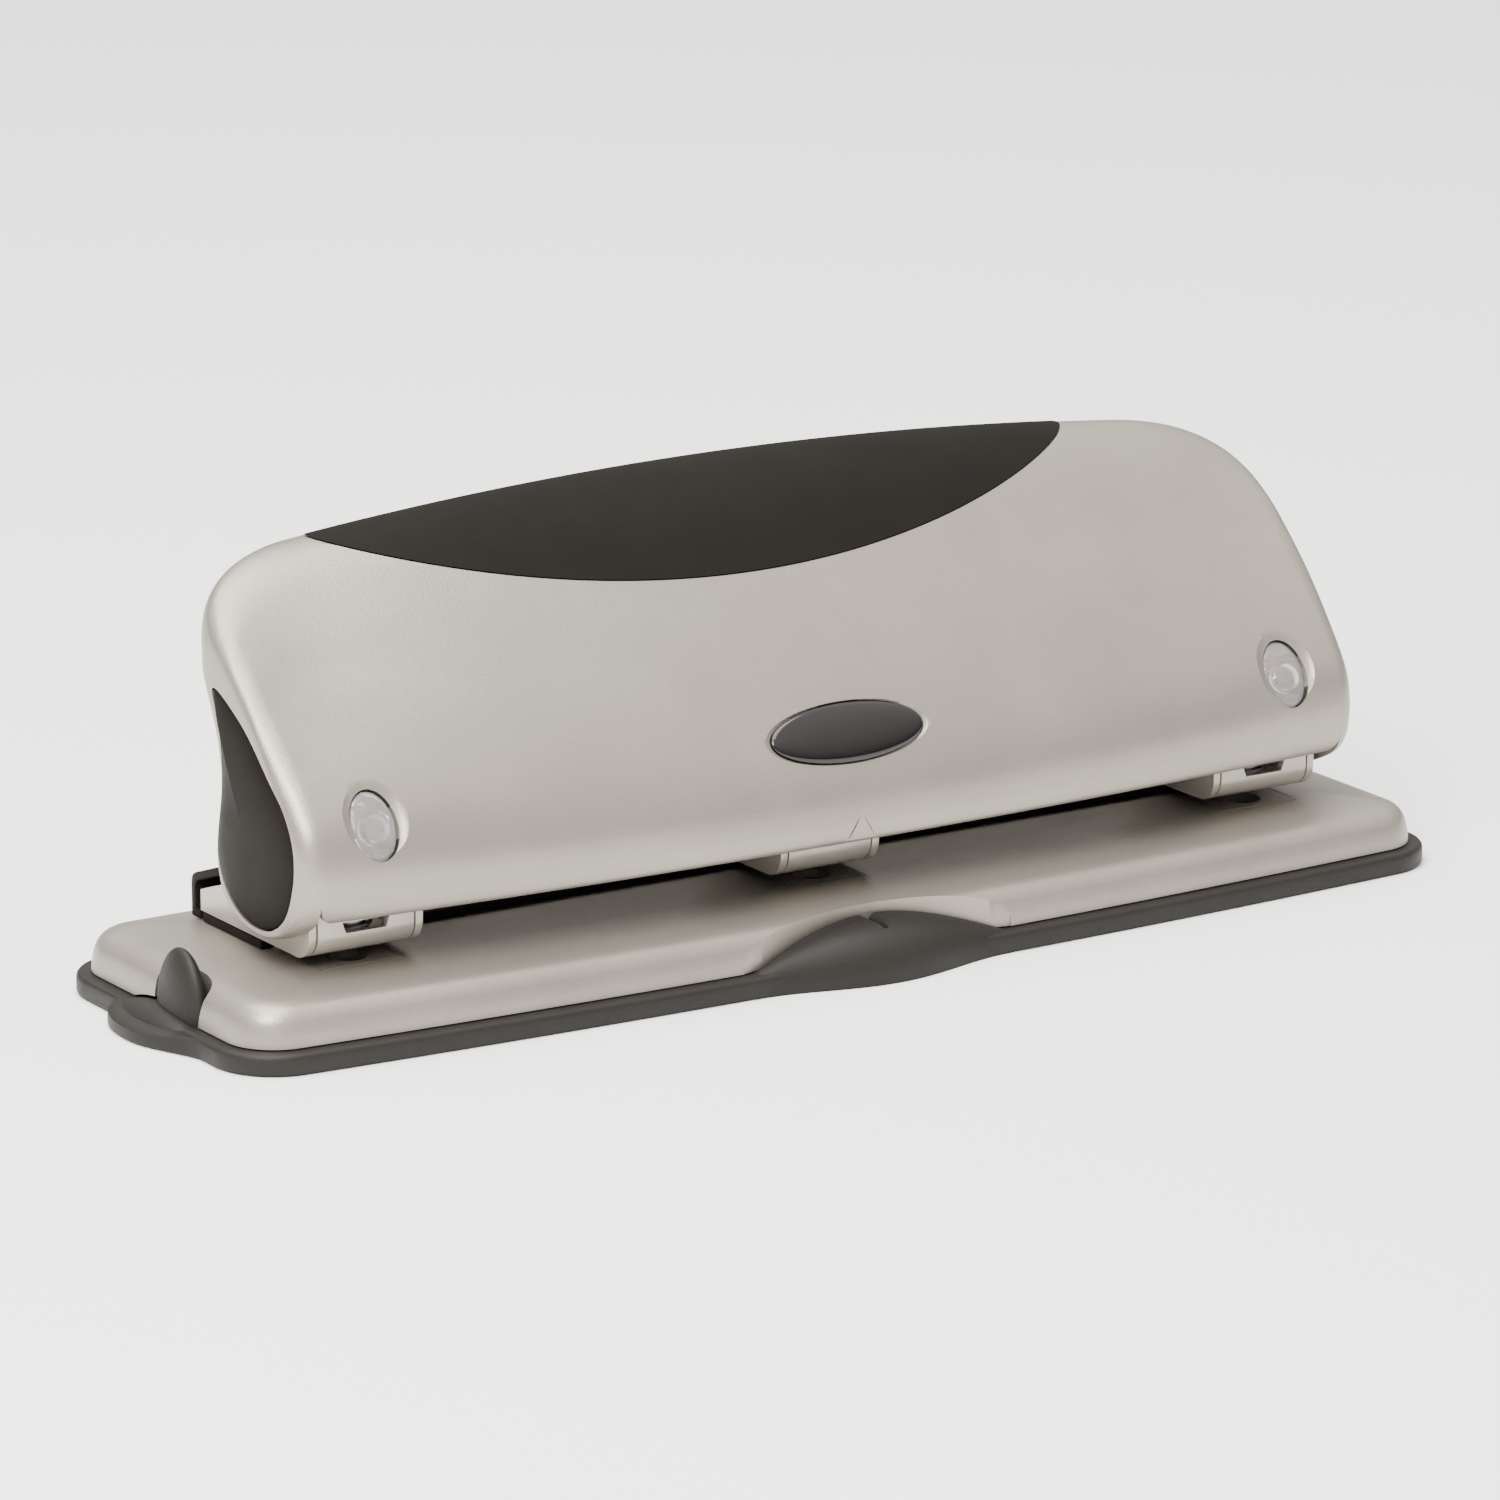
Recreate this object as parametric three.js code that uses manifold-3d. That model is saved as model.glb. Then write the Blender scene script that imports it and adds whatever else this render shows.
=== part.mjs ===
// Desktop three-hole paper punch.
// Millimetres. +X runs along the punch, +Y to its rear, +Z up. The origin is on the table,
// under the middle punch's plane of symmetry.
import * as THREE from 'three';
import { mergeVertices } from 'three/addons/utils/BufferGeometryUtils.js';
import Module from 'manifold-3d';

const wasm = await Module();
wasm.setup();

// Fits
const GAP = 0.3; // between fixed neighbours
const RUN = 0.2; // radial clearance of a moving fit

// Chip tray, which is also the foot of the punch
const TRAY_LENGTH = 288;
const TRAY_FRONT = -35;
const TRAY_REAR = 46;
const TRAY_BOW = 4.4;
const TRAY_CORNER = 14;
const TRAY_FLOOR = 1.8;
const RIM_HEIGHT = 4.4;
const RIM_WIDTH = 5.5;
const LOBE_Y = 3.5;
const LOBE_REAR = 15;
const LOBE_FRONT = 23;
const LOBE_REACH = 6;
const MOUND_INSET = 2;
const MOUND_Y = 4;
const MOUND_RADII = [6, 17, 6.2];
const FIN_INSET = 4.5;
const FIN_Y = -0.6;
const FIN_RADII = [3.3, 8.6, 13];
const FIN_CENTRE_Z = 5.4;
const EYE_HALF = 31;
const EYE_HEIGHT = 11.2;
const EYE_FRONT = 5;
const EYE_REAR = 8;
const HINGE_INSET = 2.5;
const HINGE_Z = 2.7;
const HINGE_PIN_R = 0.9;
const HINGE_PIN_LENGTH = 52;
const TONGUE_Y = 16;
const TONGUE_WIDTH = 7.4;
const TONGUE_R = 1.6;

// Base cover
const COVER_INSET = 3;
const COVER_WALL = 1.8;
const COVER_TOP_WALL = 3.8;
// Height above the rim and inset of the cover's rise
const COVER_STEPS = [[0, 0], [3, 0.4], [5.5, 1.2], [7.2, 2.7], [8.2, 5], [8.8, 8.5], [9.3, 13], [9.7, 17.5]];

// Punch heads
const PITCH = 107.95;
const PUNCH_Y = -10.8;
const PIN_R = 3.55;
const PAPER_SLOT = 2.3;
const HEAD_METAL = 1.8;
const OUTER_HEAD_WIDTH = 22;
const MIDDLE_HEAD_WIDTH = 20;
const HEAD_FRONT = -18;
const HEAD_REAR = 25.8;
const HEAD_BEND = 5;
const HEAD_WALL_TOP = 37;
const HEAD_SLOT = [10, 2.2, 21.4];
const STOP_Y = 1.5;
const STOP_REAR = 25;
const SCREW_R = 1.8;
const SCREW_Y = 20;
const SCREW_OFFSET = 6;
const DIE_SIZE = [18, 12, 1.7];
const REAR_COVER_DEPTH = 4;
const REAR_WALL = 1.8;

// Pivot
const PIVOT_Y = 3.2;
const PIVOT_Z = 33;
const SHAFT_R = 3;
const CLIP_THICK = 1;

// Punch pins
const PIN_FOOT = 0.2;
const PIN_TOP = 45;
const CLIP_Z = 33.5;
const BRIDGE_Z = 36;
const BRIDGE_THICK = 2;
const SPRING_R = 4.35;
const WIRE_R = 0.5;
const SPRING_TURNS = 5;

// Handle
const HANDLE_HALF = 126.2;
const SHOULDER_START = 100;
const HANDLE_WALL = 2.6;
const END_WALL = 4;
const END_FILLET = 4.8;
const LIP_Z = 25.6;
const LIP_CORNER = 4.5;
const LIP_CORNER_Y = -14;
const RIDGE_POINT = 9; // number of the outline point on the ridge
const FRONT_ROUND = 2.3; // power of the shoulder's rounding
const REAR_ROUND = 1.6;
const REAR_EDGE_Z = 47;
const GRIP_MIDDLE = -8;
const GRIP_HALF = 101;
const GRIP_THICK = 1.2;
const GRIP_LOW = 77.05;
const GRIP_RISE = 17.5;
const INLAY_DEPTH = 2;
const INLAY_PROUD = 1;
const WINDOW_X = 109;
const WINDOW_Z = 44.6;
const LENS = [4.9, 7.1];
const DISH_LIFT = 1.2;
const BADGE = [18, 6.25];
const BADGE_Z = 47.3;
const PRESS_BAR = { half: 113.5, front: -15, rear: -6.5, low: 45.5, high: 50.5 };
const PRESS_NOSE = { start: 103.5, front: -12.3, high: 48.5 };
const PRESS_SCREW_X = 60;

// Paper indicators
const LEVER_OFFSET = 8;
const LEVER_THICK = 2.2;
const FLAG_Y = -17.9;
const FLAG_Z = 43.5;
const FLAG_R = 2.8;
const FLAG_HALF_THICK = 0.5;

// Handle outline in the Y-Z plane at the middle, near the end and at the end face:
// up the front from the lip, over the ridge and down the rear.
// Each has the same number of points.
const MIDDLE_OUTLINE = [
  [-29.6, 26], [-30.6, 32], [-28.9, 39], [-24.3, 47.3], [-13.5, 62.5], [0, 78.5],
  [9, 87.5], [17, 92.8], [24, 95], [30.5, 93.6], [34, 89], [32.5, 83],
  [25, 73], [18, 63.5], [13, 55], [10.8, 47], [10.2, 39], [10.3, 31],
];
const SIDE_OUTLINE = [
  [-25.8, 26], [-27.6, 32], [-27, 38.5], [-23.6, 46.5], [-12.5, 59.5], [0, 71.8],
  [9.5, 81], [17, 87], [24, 89.8], [29.8, 88.2], [32.8, 84], [31, 78.5],
  [23.5, 69.5], [17, 61], [12.5, 53], [10.5, 46], [10, 39], [10.3, 31],
];
const END_OUTLINE = [
  [-21.8, 26], [-25.4, 31], [-26, 36.5], [-25.2, 42], [-21, 49.2], [-12, 59.8],
  [-4.5, 66], [1.5, 70], [6, 71.8], [9.8, 71.6], [12, 69.5], [12.2, 66.5],
  [11, 62.5], [9.2, 57.5], [8.2, 52], [8.3, 47], [9.6, 40.5], [10.5, 34],
];
const END_FOOT = [[9.2, 28.3], [5, 23.6], [-3, 20.5], [-11, 20.2], [-17, 22.3]];
const INLAY_OUTLINE = [
  [9.3, 66.5], [-1.7, 61.6], [-11, 53.8], [-18, 47], [-21.3, 40.5], [-21.2, 33.5],
  [-18, 26.6], [-12.4, 22.9], [-5, 22.2], [1.2, 24], [5.8, 28], [8, 33.5],
  [7.8, 39.5], [6.4, 46], [5.9, 53], [7.2, 60.5],
];

const paint = (color, roughness, metalness, extra = {}) =>
  new THREE.MeshStandardMaterial({ color, roughness, metalness, ...extra });
const SILVER = paint(0xbcb6ad, 0.45, 0.4);
const BLACK = paint(0x2f2b27, 0.6, 0);
const SOFT_BLACK = paint(0x3a3631, 0.8, 0);
const GLOSS_BLACK = paint(0x16140f, 0.15, 0);
const STEEL = paint(0xa8a8a4, 0.35, 0.9);
const ZINC = paint(0xc3c2ba, 0.4, 0.8);
const CLEAR = paint(0xe8ece8, 0.08, 0, { transparent: true, opacity: 0.35 });
const RED = paint(0xa8322a, 0.5, 0);

const punch = new THREE.Group();

// ---- Solids ----

function solid(geometry) {
  const bare = geometry.clone();
  bare.deleteAttribute('normal');
  bare.deleteAttribute('uv');
  const merged = mergeVertices(bare, 1e-4);
  const mesh = new wasm.Mesh({
    numProp: 3,
    vertProperties: new Float32Array(merged.attributes.position.array),
    triVerts: new Uint32Array(merged.index.array),
  });
  return new wasm.Manifold(mesh);
}

function block(x, y, z) {
  const box = new THREE.BoxGeometry(x[1] - x[0], y[1] - y[0], z[1] - z[0]);
  box.translate((x[0] + x[1]) / 2, (y[0] + y[1]) / 2, (z[0] + z[1]) / 2);
  return solid(box);
}

const AXES = [new THREE.Vector3(1, 0, 0), new THREE.Vector3(0, 1, 0), new THREE.Vector3(0, 0, 1)];

// Extrudes an outline along axis 0, 1 or 2. The outline's two numbers run along the two axes
// that follow it in the order X, Y, Z, X, Y.
function prism(outline, axis, from, to) {
  const shape = new THREE.Shape(outline.map((p) => new THREE.Vector2(p[0], p[1])));
  const body = new THREE.ExtrudeGeometry(shape, { depth: to - from, bevelEnabled: false, steps: 1 });
  body.translate(0, 0, from);
  const turn = new THREE.Matrix4().makeBasis(AXES[(axis + 1) % 3], AXES[(axis + 2) % 3], AXES[axis]);
  return solid(body.applyMatrix4(turn));
}

function circle(u, v, radius, segments = 28) {
  const points = [];
  for (let i = 0; i < segments; i += 1) {
    const angle = (i / segments) * 2 * Math.PI;
    points.push([u + radius * Math.cos(angle), v + radius * Math.sin(angle)]);
  }
  return points;
}

function smooth(points, perSpan = 3) {
  const curve = new THREE.CatmullRomCurve3(
    points.map((p) => new THREE.Vector3(p[0], p[1], 0)), true, 'centripetal');
  return curve.getPoints(points.length * perSpan).slice(0, -1).map((p) => [p.x, p.y]);
}

// A closed body through loops of points that all have the same count.
function loft(loops) {
  const count = loops[0].length;
  const position = loops.flat().flatMap((p) => [p.x, p.y, p.z]);
  const index = [];
  for (let k = 0; k + 1 < loops.length; k += 1) {
    for (let i = 0; i < count; i += 1) {
      const a = k * count + i;
      const b = k * count + ((i + 1) % count);
      index.push(a, b, b + count, a, b + count, a + count);
    }
  }
  const last = (loops.length - 1) * count;
  const flat = (loop) => {
    const across = loop.every((p) => Math.abs(p.x - loop[0].x) < 1e-6);
    return loop.map((p) => (across ? new THREE.Vector2(p.y, p.z) : new THREE.Vector2(p.x, p.y)));
  };
  const first = THREE.ShapeUtils.triangulateShape(flat(loops[0]), []);
  const end = THREE.ShapeUtils.triangulateShape(flat(loops[loops.length - 1]), []);
  first.forEach((t) => index.push(t[2], t[1], t[0]));
  end.forEach((t) => index.push(last + t[0], last + t[1], last + t[2]));
  const geometry = new THREE.BufferGeometry();
  geometry.setAttribute('position', new THREE.Float32BufferAttribute(position, 3));
  geometry.setIndex(index);
  return solid(geometry);
}

function lathe(profile, x, y, segments = 22) {
  const points = profile.map((p) => new THREE.Vector2(p[0], p[1]));
  const body = new THREE.LatheGeometry(points, segments);
  body.rotateX(Math.PI / 2);
  body.translate(x, y, 0);
  return solid(body);
}

function ring(outer, inner, low, high, x, y) {
  return lathe([[inner, low], [outer, low], [outer, high], [inner, high], [inner, low]], x, y);
}

function add(name, body, material) {
  const mesh = body.getMesh();
  const geometry = new THREE.BufferGeometry();
  const position = new Float32Array(mesh.numVert * 3);
  for (let i = 0; i < mesh.numVert; i += 1) {
    for (let k = 0; k < 3; k += 1) {
      position[i * 3 + k] = mesh.vertProperties[i * mesh.numProp + k];
    }
  }
  geometry.setAttribute('position', new THREE.BufferAttribute(position, 3));
  geometry.setIndex(new THREE.BufferAttribute(new Uint32Array(mesh.triVerts), 1));
  geometry.computeVertexNormals();
  const part = new THREE.Mesh(geometry, material);
  part.name = name;
  punch.add(part);
}

// ---- Chip tray and base cover ----

const bow = (x, half) => TRAY_BOW * (1 - (x / half) ** 2);

// The tray's plan outline, moved in by inset.
function planOutline(inset) {
  const half = TRAY_LENGTH / 2 - inset;
  const front = TRAY_FRONT + inset;
  const rear = TRAY_REAR - inset;
  const radius = Math.max(TRAY_CORNER - inset, 1);
  const reach = half - radius;
  const points = [];
  const corner = (x, y, start) => {
    for (let i = 0; i <= 6; i += 1) {
      const angle = start + (i / 6) * (Math.PI / 2);
      points.push([x + radius * Math.cos(angle), y + radius * Math.sin(angle)]);
    }
  };
  corner(reach, front + radius, -Math.PI / 2);
  corner(reach, rear - radius, 0);
  corner(-reach, rear - radius, Math.PI / 2);
  corner(-reach, front + radius, Math.PI);
  for (let i = 1; i < 24; i += 1) {
    const x = -reach + (2 * reach * i) / 24;
    points.push([x, front - bow(x, reach)]);
  }
  return points;
}

const raise = (outline, z) => outline.map((p) => new THREE.Vector3(p[0], p[1], z));
const tip = (t) => Math.cos((t * Math.PI) / 2) ** 2;
const hingeX = TRAY_LENGTH / 2 - HINGE_INSET;
const coverLow = RIM_HEIGHT + GAP;
const coverTop = coverLow + COVER_STEPS[COVER_STEPS.length - 1][0];
const trayFrontMiddle = TRAY_FRONT - TRAY_BOW;

function eyeRear(x) {
  const wave = Math.cos((x / EYE_HALF) * (Math.PI / 2));
  return trayFrontMiddle + COVER_INSET + (EYE_REAR - COVER_INSET) * wave;
}

function eye() {
  const loops = [];
  for (let i = 0; i <= 20; i += 1) {
    const t = -1 + i / 10;
    const x = t * EYE_HALF;
    const rear = eyeRear(x);
    const rim = TRAY_FRONT - bow(x, TRAY_LENGTH / 2 - TRAY_CORNER);
    const front = rim + GAP * (1 - tip(t)) - EYE_FRONT * tip(t);
    const height = RIM_HEIGHT - 0.4 + (EYE_HEIGHT - RIM_HEIGHT + 0.4) * Math.cos((t * Math.PI) / 2);
    const loop = [new THREE.Vector3(x, rear, 0)];
    for (let k = 0; k <= 8; k += 1) {
      const angle = (k / 8) * (Math.PI / 2);
      const across = Math.sin(angle) ** 0.8;
      loop.push(new THREE.Vector3(x, rear + (front - rear) * across, height * Math.cos(angle) ** 0.8));
    }
    loops.push(loop);
  }
  return loft(loops);
}

function ball(radii, at) {
  const body = new THREE.SphereGeometry(1, 20, 12);
  body.scale(...radii);
  body.translate(...at);
  return solid(body);
}

// Low mound at the finger lobe, grown all round by grow.
function mound(grow) {
  return ball(MOUND_RADII.map((radius) => radius + grow), [MOUND_INSET - TRAY_LENGTH / 2, MOUND_Y, 0]);
}

function chipTray() {
  const outer = loft([raise(planOutline(0.5), 0), raise(planOutline(0), 0.8), raise(planOutline(0), 3.8),
    raise(planOutline(0.4), 4.6), raise(planOutline(1), RIM_HEIGHT)]);
  const lobe = [];
  for (let i = 0; i <= 16; i += 1) {
    const t = 1 - i / 8;
    const out = t > 0 ? Math.sqrt(Math.max(0, 1 - t ** 2.4)) : tip(t);
    const along = t > 0 ? LOBE_REAR : LOBE_FRONT;
    lobe.push([-TRAY_LENGTH / 2 + 0.5 - (LOBE_REACH + 0.5) * out, LOBE_Y + along * t]);
  }
  lobe.push([-TRAY_LENGTH / 2 + 3, LOBE_Y - LOBE_FRONT], [-TRAY_LENGTH / 2 + 3, LOBE_Y + LOBE_REAR]);
  const fin = ball(FIN_RADII, [FIN_INSET - TRAY_LENGTH / 2, FIN_Y, FIN_CENTRE_Z]);
  const finSolid = fin.add(mound(0)).subtract(block([-200, 0], [-60, 60], [-20, 1]));
  const pocket = prism(planOutline(RIM_WIDTH), 2, TRAY_FLOOR, RIM_HEIGHT + 1);
  let tray = outer.add(prism(lobe, 2, 0, RIM_HEIGHT - 0.6)).subtract(pocket).add(finSolid).add(eye());
  tray = tray.subtract(prism(planOutline(RIM_WIDTH), 2, TRAY_FLOOR, coverLow));
  const notchHalf = TONGUE_WIDTH / 2 + 2 * RUN;
  for (const y of [-TONGUE_Y, TONGUE_Y]) {
    tray = tray.subtract(block([hingeX - 6, hingeX + TONGUE_R + RUN], [y - notchHalf, y + notchHalf],
      [HINGE_Z - TONGUE_R - RUN, RIM_HEIGHT + 1]));
  }
  return tray.subtract(hingeRod(HINGE_PIN_R + RUN, HINGE_PIN_LENGTH + 2 * RUN));
}

function hingeRod(radius, length) {
  return prism(circle(HINGE_Z, hingeX, radius, 20), 1, -length / 2, length / 2);
}

function coverBody(inset, low, topDrop) {
  return loft(COVER_STEPS.map(([height, step], i) => {
    const z = i === 0 ? low : coverLow + height - topDrop;
    return raise(planOutline(COVER_INSET + inset + step), z);
  }));
}

function baseCover() {
  let cover = coverBody(0, coverLow, 0);
  cover = cover.subtract(coverBody(COVER_WALL, 0, COVER_TOP_WALL));
  // Recess around the tray's eye and fin
  const recess = [];
  for (let i = 0; i <= 16; i += 1) {
    const x = (1 - i / 8) * (EYE_HALF + 1);
    recess.push([x, eyeRear(Math.max(-EYE_HALF, Math.min(EYE_HALF, x))) + 2 * GAP]);
  }
  recess.push([-EYE_HALF - 1, trayFrontMiddle - 10], [EYE_HALF + 1, trayFrontMiddle - 10]);
  cover = cover.subtract(prism(recess, 2, 0, 40));
  const scallop = new THREE.CylinderGeometry(1, 1, 60, 28);
  scallop.rotateX(Math.PI / 2);
  scallop.scale(FIN_RADII[0] + 3 * GAP, FIN_RADII[1] + 3 * GAP, 1);
  scallop.translate(FIN_INSET - TRAY_LENGTH / 2, FIN_Y, 0);
  cover = cover.subtract(solid(scallop)).subtract(mound(2 * GAP));
  // Hinge tongues
  for (const y of [-TONGUE_Y, TONGUE_Y]) {
    const [near, far] = [y - TONGUE_WIDTH / 2, y + TONGUE_WIDTH / 2];
    const tongue = prism(circle(HINGE_Z, hingeX, TONGUE_R, 20), 1, near, far);
    const neck = block([hingeX - TONGUE_R, hingeX - HINGE_PIN_R], [near, far], [HINGE_Z, coverLow + 2]);
    cover = cover.add(tongue.add(neck));
  }
  cover = cover.subtract(hingeRod(HINGE_PIN_R + RUN, HINGE_PIN_LENGTH + 2));
  // Die recesses, chip holes and screw holes
  for (const x of [-PITCH, 0, PITCH]) {
    const [wide, deep, thick] = DIE_SIZE;
    cover = cover.subtract(block([x - wide / 2 - GAP, x + wide / 2 + GAP],
      [PUNCH_Y - deep / 2 - GAP, PUNCH_Y + deep / 2 + GAP], [coverTop - thick - GAP, coverTop + 1]));
    cover = cover.subtract(prism(circle(x, PUNCH_Y, PIN_R + 1, 24), 2, 0, 30));
    for (const side of [-1, 1]) {
      cover = cover.subtract(prism(circle(x + side * SCREW_OFFSET, SCREW_Y, SCREW_R + GAP, 20), 2, 0, 30));
    }
  }
  return cover;
}

add('chip_tray', chipTray(), SOFT_BLACK);
add('tray_hinge_pin', hingeRod(HINGE_PIN_R, HINGE_PIN_LENGTH), STEEL);
add('base_cover', baseCover(), SILVER);

// ---- Heads ----

const slotTop = coverTop + PAPER_SLOT;
const plateTop = slotTop + HEAD_METAL;
const HEADS = [
  { name: 'left', x: -PITCH, width: OUTER_HEAD_WIDTH, side: -1 },
  { name: 'middle', x: 0, width: MIDDLE_HEAD_WIDTH, side: 0 },
  { name: 'right', x: PITCH, width: OUTER_HEAD_WIDTH, side: 1 },
];
// Side view of a folded head: front bend, cheek top round the pivot, hollow rear slope.
function headOutline(inset) {
  const low = slotTop + inset;
  const front = HEAD_FRONT + inset;
  const radius = HEAD_BEND - inset;
  const points = [];
  for (let i = 0; i <= 6; i += 1) {
    const angle = -Math.PI / 2 - (i / 6) * (Math.PI / 2);
    points.push([front + radius + radius * Math.cos(angle), low + radius + radius * Math.sin(angle)]);
  }
  points.push([front, HEAD_WALL_TOP], [-5, HEAD_WALL_TOP + 1]);
  for (let i = 0; i <= 6; i += 1) {
    const angle = Math.PI * (0.75 - (0.65 * i) / 6);
    points.push([PIVOT_Y + 7.5 * Math.cos(angle), PIVOT_Z + 7.5 * Math.sin(angle)]);
  }
  points.push([12.8, 27.6], [16, 24.6], [20.5, 22.9], [HEAD_REAR, 21], [HEAD_REAR, low]);
  return points.reverse();
}

function headFrame({ x, width, side }) {
  const half = width / 2 + HEAD_METAL;
  let frame = prism(headOutline(0), 0, x - half, x + half);
  const hollow = block([x - width / 2, x + width / 2], [HEAD_FRONT + HEAD_METAL, HEAD_REAR + 1],
    [plateTop + HEAD_BEND - HEAD_METAL, 60]);
  const hollowLow = block([x - width / 2, x + width / 2], [HEAD_FRONT + HEAD_BEND, HEAD_REAR + 1],
    [plateTop, 60]);
  const bend = prism(circle(plateTop + HEAD_BEND - HEAD_METAL, 0, HEAD_BEND - HEAD_METAL, 24)
    .map((p) => [HEAD_FRONT + HEAD_BEND + p[1], p[0]]).reverse(), 0, x - width / 2, x + width / 2);
  frame = frame.subtract(hollow).subtract(hollowLow).subtract(bend);
  frame = frame.subtract(prism(circle(x, PUNCH_Y, PIN_R + RUN, 28), 2, 0, plateTop + HEAD_BEND));
  frame = frame.subtract(prism(circle(PIVOT_Y, PIVOT_Z, SHAFT_R + RUN, 28), 0, x - 20, x + 20));
  for (const screw of [-1, 1]) {
    const hole = circle(x + screw * SCREW_OFFSET, SCREW_Y, SCREW_R + GAP, 20);
    frame = frame.subtract(prism(hole, 2, 0, plateTop + 1));
  }
  if (side !== 0) {
    const [slotWide, slotHigh, slotZ] = HEAD_SLOT;
    frame = frame.subtract(block([x - slotWide / 2, x + slotWide / 2],
      [HEAD_FRONT - 1, HEAD_FRONT + HEAD_METAL + 1], [slotZ, slotZ + slotHigh]));
    const toe = x + side * LEVER_OFFSET;
    frame = frame.subtract(block([toe - LEVER_THICK / 2 - 0.6, toe + LEVER_THICK / 2 + 0.6],
      [STOP_Y - 5, STOP_Y + 5], [slotTop - 1, plateTop + 1]));
  }
  return frame;
}

function guideBridge({ x, width, side }) {
  const reach = width / 2 - GAP;
  const leverSide = LEVER_OFFSET - LEVER_THICK / 2 - 2 * GAP;
  const low = side < 0 ? -leverSide : -reach;
  const high = side > 0 ? leverSide : reach;
  const plate = block([x + low, x + high], [HEAD_FRONT + HEAD_METAL + GAP, PUNCH_Y + 6],
    [BRIDGE_Z, BRIDGE_Z + BRIDGE_THICK]);
  return plate.subtract(prism(circle(x, PUNCH_Y, PIN_R + RUN), 2, BRIDGE_Z - 1, BRIDGE_Z + BRIDGE_THICK + 1));
}

function diePlate({ x }) {
  const [wide, deep, thick] = DIE_SIZE;
  const plate = block([x - wide / 2, x + wide / 2], [PUNCH_Y - deep / 2, PUNCH_Y + deep / 2],
    [coverTop - thick, coverTop]);
  return plate.subtract(prism(circle(x, PUNCH_Y, PIN_R + RUN), 2, 0, 30));
}

function punchPin({ x }) {
  const foot = slotTop + PIN_FOOT;
  const groove = CLIP_Z - RUN;
  const above = groove + CLIP_THICK + 0.6;
  return lathe([[0, foot + 1.2], [PIN_R - 0.5, foot], [PIN_R, foot], [PIN_R, groove], [PIN_R - 0.5, groove],
    [PIN_R - 0.5, above], [PIN_R, above], [PIN_R, PIN_TOP - 4], [PIN_R - 0.5, PIN_TOP - 2.6],
    [PIN_R - 1.5, PIN_TOP - 1], [PIN_R - 2.4, PIN_TOP - 0.2], [0, PIN_TOP]], x, PUNCH_Y);
}

function returnSpring({ x }) {
  const low = plateTop + GAP + WIRE_R;
  const high = CLIP_Z - GAP - WIRE_R;
  class Helix extends THREE.Curve {
    getPoint(t, target = new THREE.Vector3()) {
      const angle = t * SPRING_TURNS * 2 * Math.PI;
      const z = low + t * (high - low);
      return target.set(x + SPRING_R * Math.cos(angle), PUNCH_Y + SPRING_R * Math.sin(angle), z);
    }
  }
  const section = new THREE.Shape(circle(0, 0, WIRE_R, 5).map((p) => new THREE.Vector2(p[0], p[1])));
  const along = { steps: SPRING_TURNS * 10, extrudePath: new Helix(), bevelEnabled: false };
  return solid(new THREE.ExtrudeGeometry(section, along));
}

function frameScrew(x) {
  const headLow = coverTop - COVER_TOP_WALL - GAP - 2.2;
  const profile = [[0, headLow], [SCREW_R + 1.6, headLow], [SCREW_R + 1.6, headLow + 2.2],
    [SCREW_R, headLow + 2.2], [SCREW_R, plateTop + 1.6], [SCREW_R - 0.5, plateTop + 2.2], [0, plateTop + 2.2]];
  return lathe(profile, x, SCREW_Y, 20);
}

// One-piece paper indicator on the pivot shaft: a toe in the paper slot and a flag behind the window.
function indicatorLever({ x, side }) {
  const at = x + side * LEVER_OFFSET;
  const from = at - LEVER_THICK / 2;
  const to = at + LEVER_THICK / 2;
  const toe = prism([[STOP_Y - 2.6, coverTop + 0.8], [STOP_Y - 0.6, coverTop + 0.8], [PIVOT_Y + 2.6, PIVOT_Z],
    [PIVOT_Y - 3, PIVOT_Z]], 0, from, to);
  const [flagFront, flagRear] = [FLAG_Y - FLAG_HALF_THICK, FLAG_Y + FLAG_HALF_THICK];
  const [armLow, armHigh] = [FLAG_Z - 1.2, FLAG_Z + 1.2];
  const arm = prism([[flagFront, armLow], [flagFront, armHigh], [FLAG_Y + 4, armHigh],
    [PIVOT_Y + 2, PIVOT_Z + 3.5], [PIVOT_Y, PIVOT_Z - 3]], 0, from, to);
  const hub = prism(circle(PIVOT_Y, PIVOT_Z, SHAFT_R + 2.2), 0, from, to);
  const flagX = side * WINDOW_X;
  const reach = [Math.min(flagX, at) - 0.5, Math.max(flagX, at) + 0.5];
  const link = block(reach, [flagFront, flagRear], [armLow, armHigh]);
  const flag = prism(circle(FLAG_Z, flagX, FLAG_R, 24), 1, flagFront, flagRear);
  return toe.add(arm).add(hub).add(link).add(flag)
    .subtract(prism(circle(PIVOT_Y, PIVOT_Z, SHAFT_R + RUN), 0, from - 1, to + 1));
}

for (const head of HEADS) {
  add(`head_frame_${head.name}`, headFrame(head), SILVER);
  add(`guide_bridge_${head.name}`, guideBridge(head), ZINC);
  add(`die_plate_${head.name}`, diePlate(head), STEEL);
  add(`punch_pin_${head.name}`, punchPin(head), STEEL);
  const clip = ring(PIN_R + 1.6, PIN_R - 0.3, CLIP_Z, CLIP_Z + CLIP_THICK + 0.2, head.x, PUNCH_Y);
  add(`pin_clip_${head.name}`, clip, STEEL);
  add(`return_spring_${head.name}`, returnSpring(head), STEEL);
  add(`frame_screw_${head.name}_a`, frameScrew(head.x - SCREW_OFFSET), ZINC);
  add(`frame_screw_${head.name}_b`, frameScrew(head.x + SCREW_OFFSET), ZINC);
  if (head.side !== 0) {
    add(`indicator_lever_${head.name}`, indicatorLever(head), RED);
  }
}

const headsHalf = PITCH + OUTER_HEAD_WIDTH / 2 + HEAD_METAL;

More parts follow.
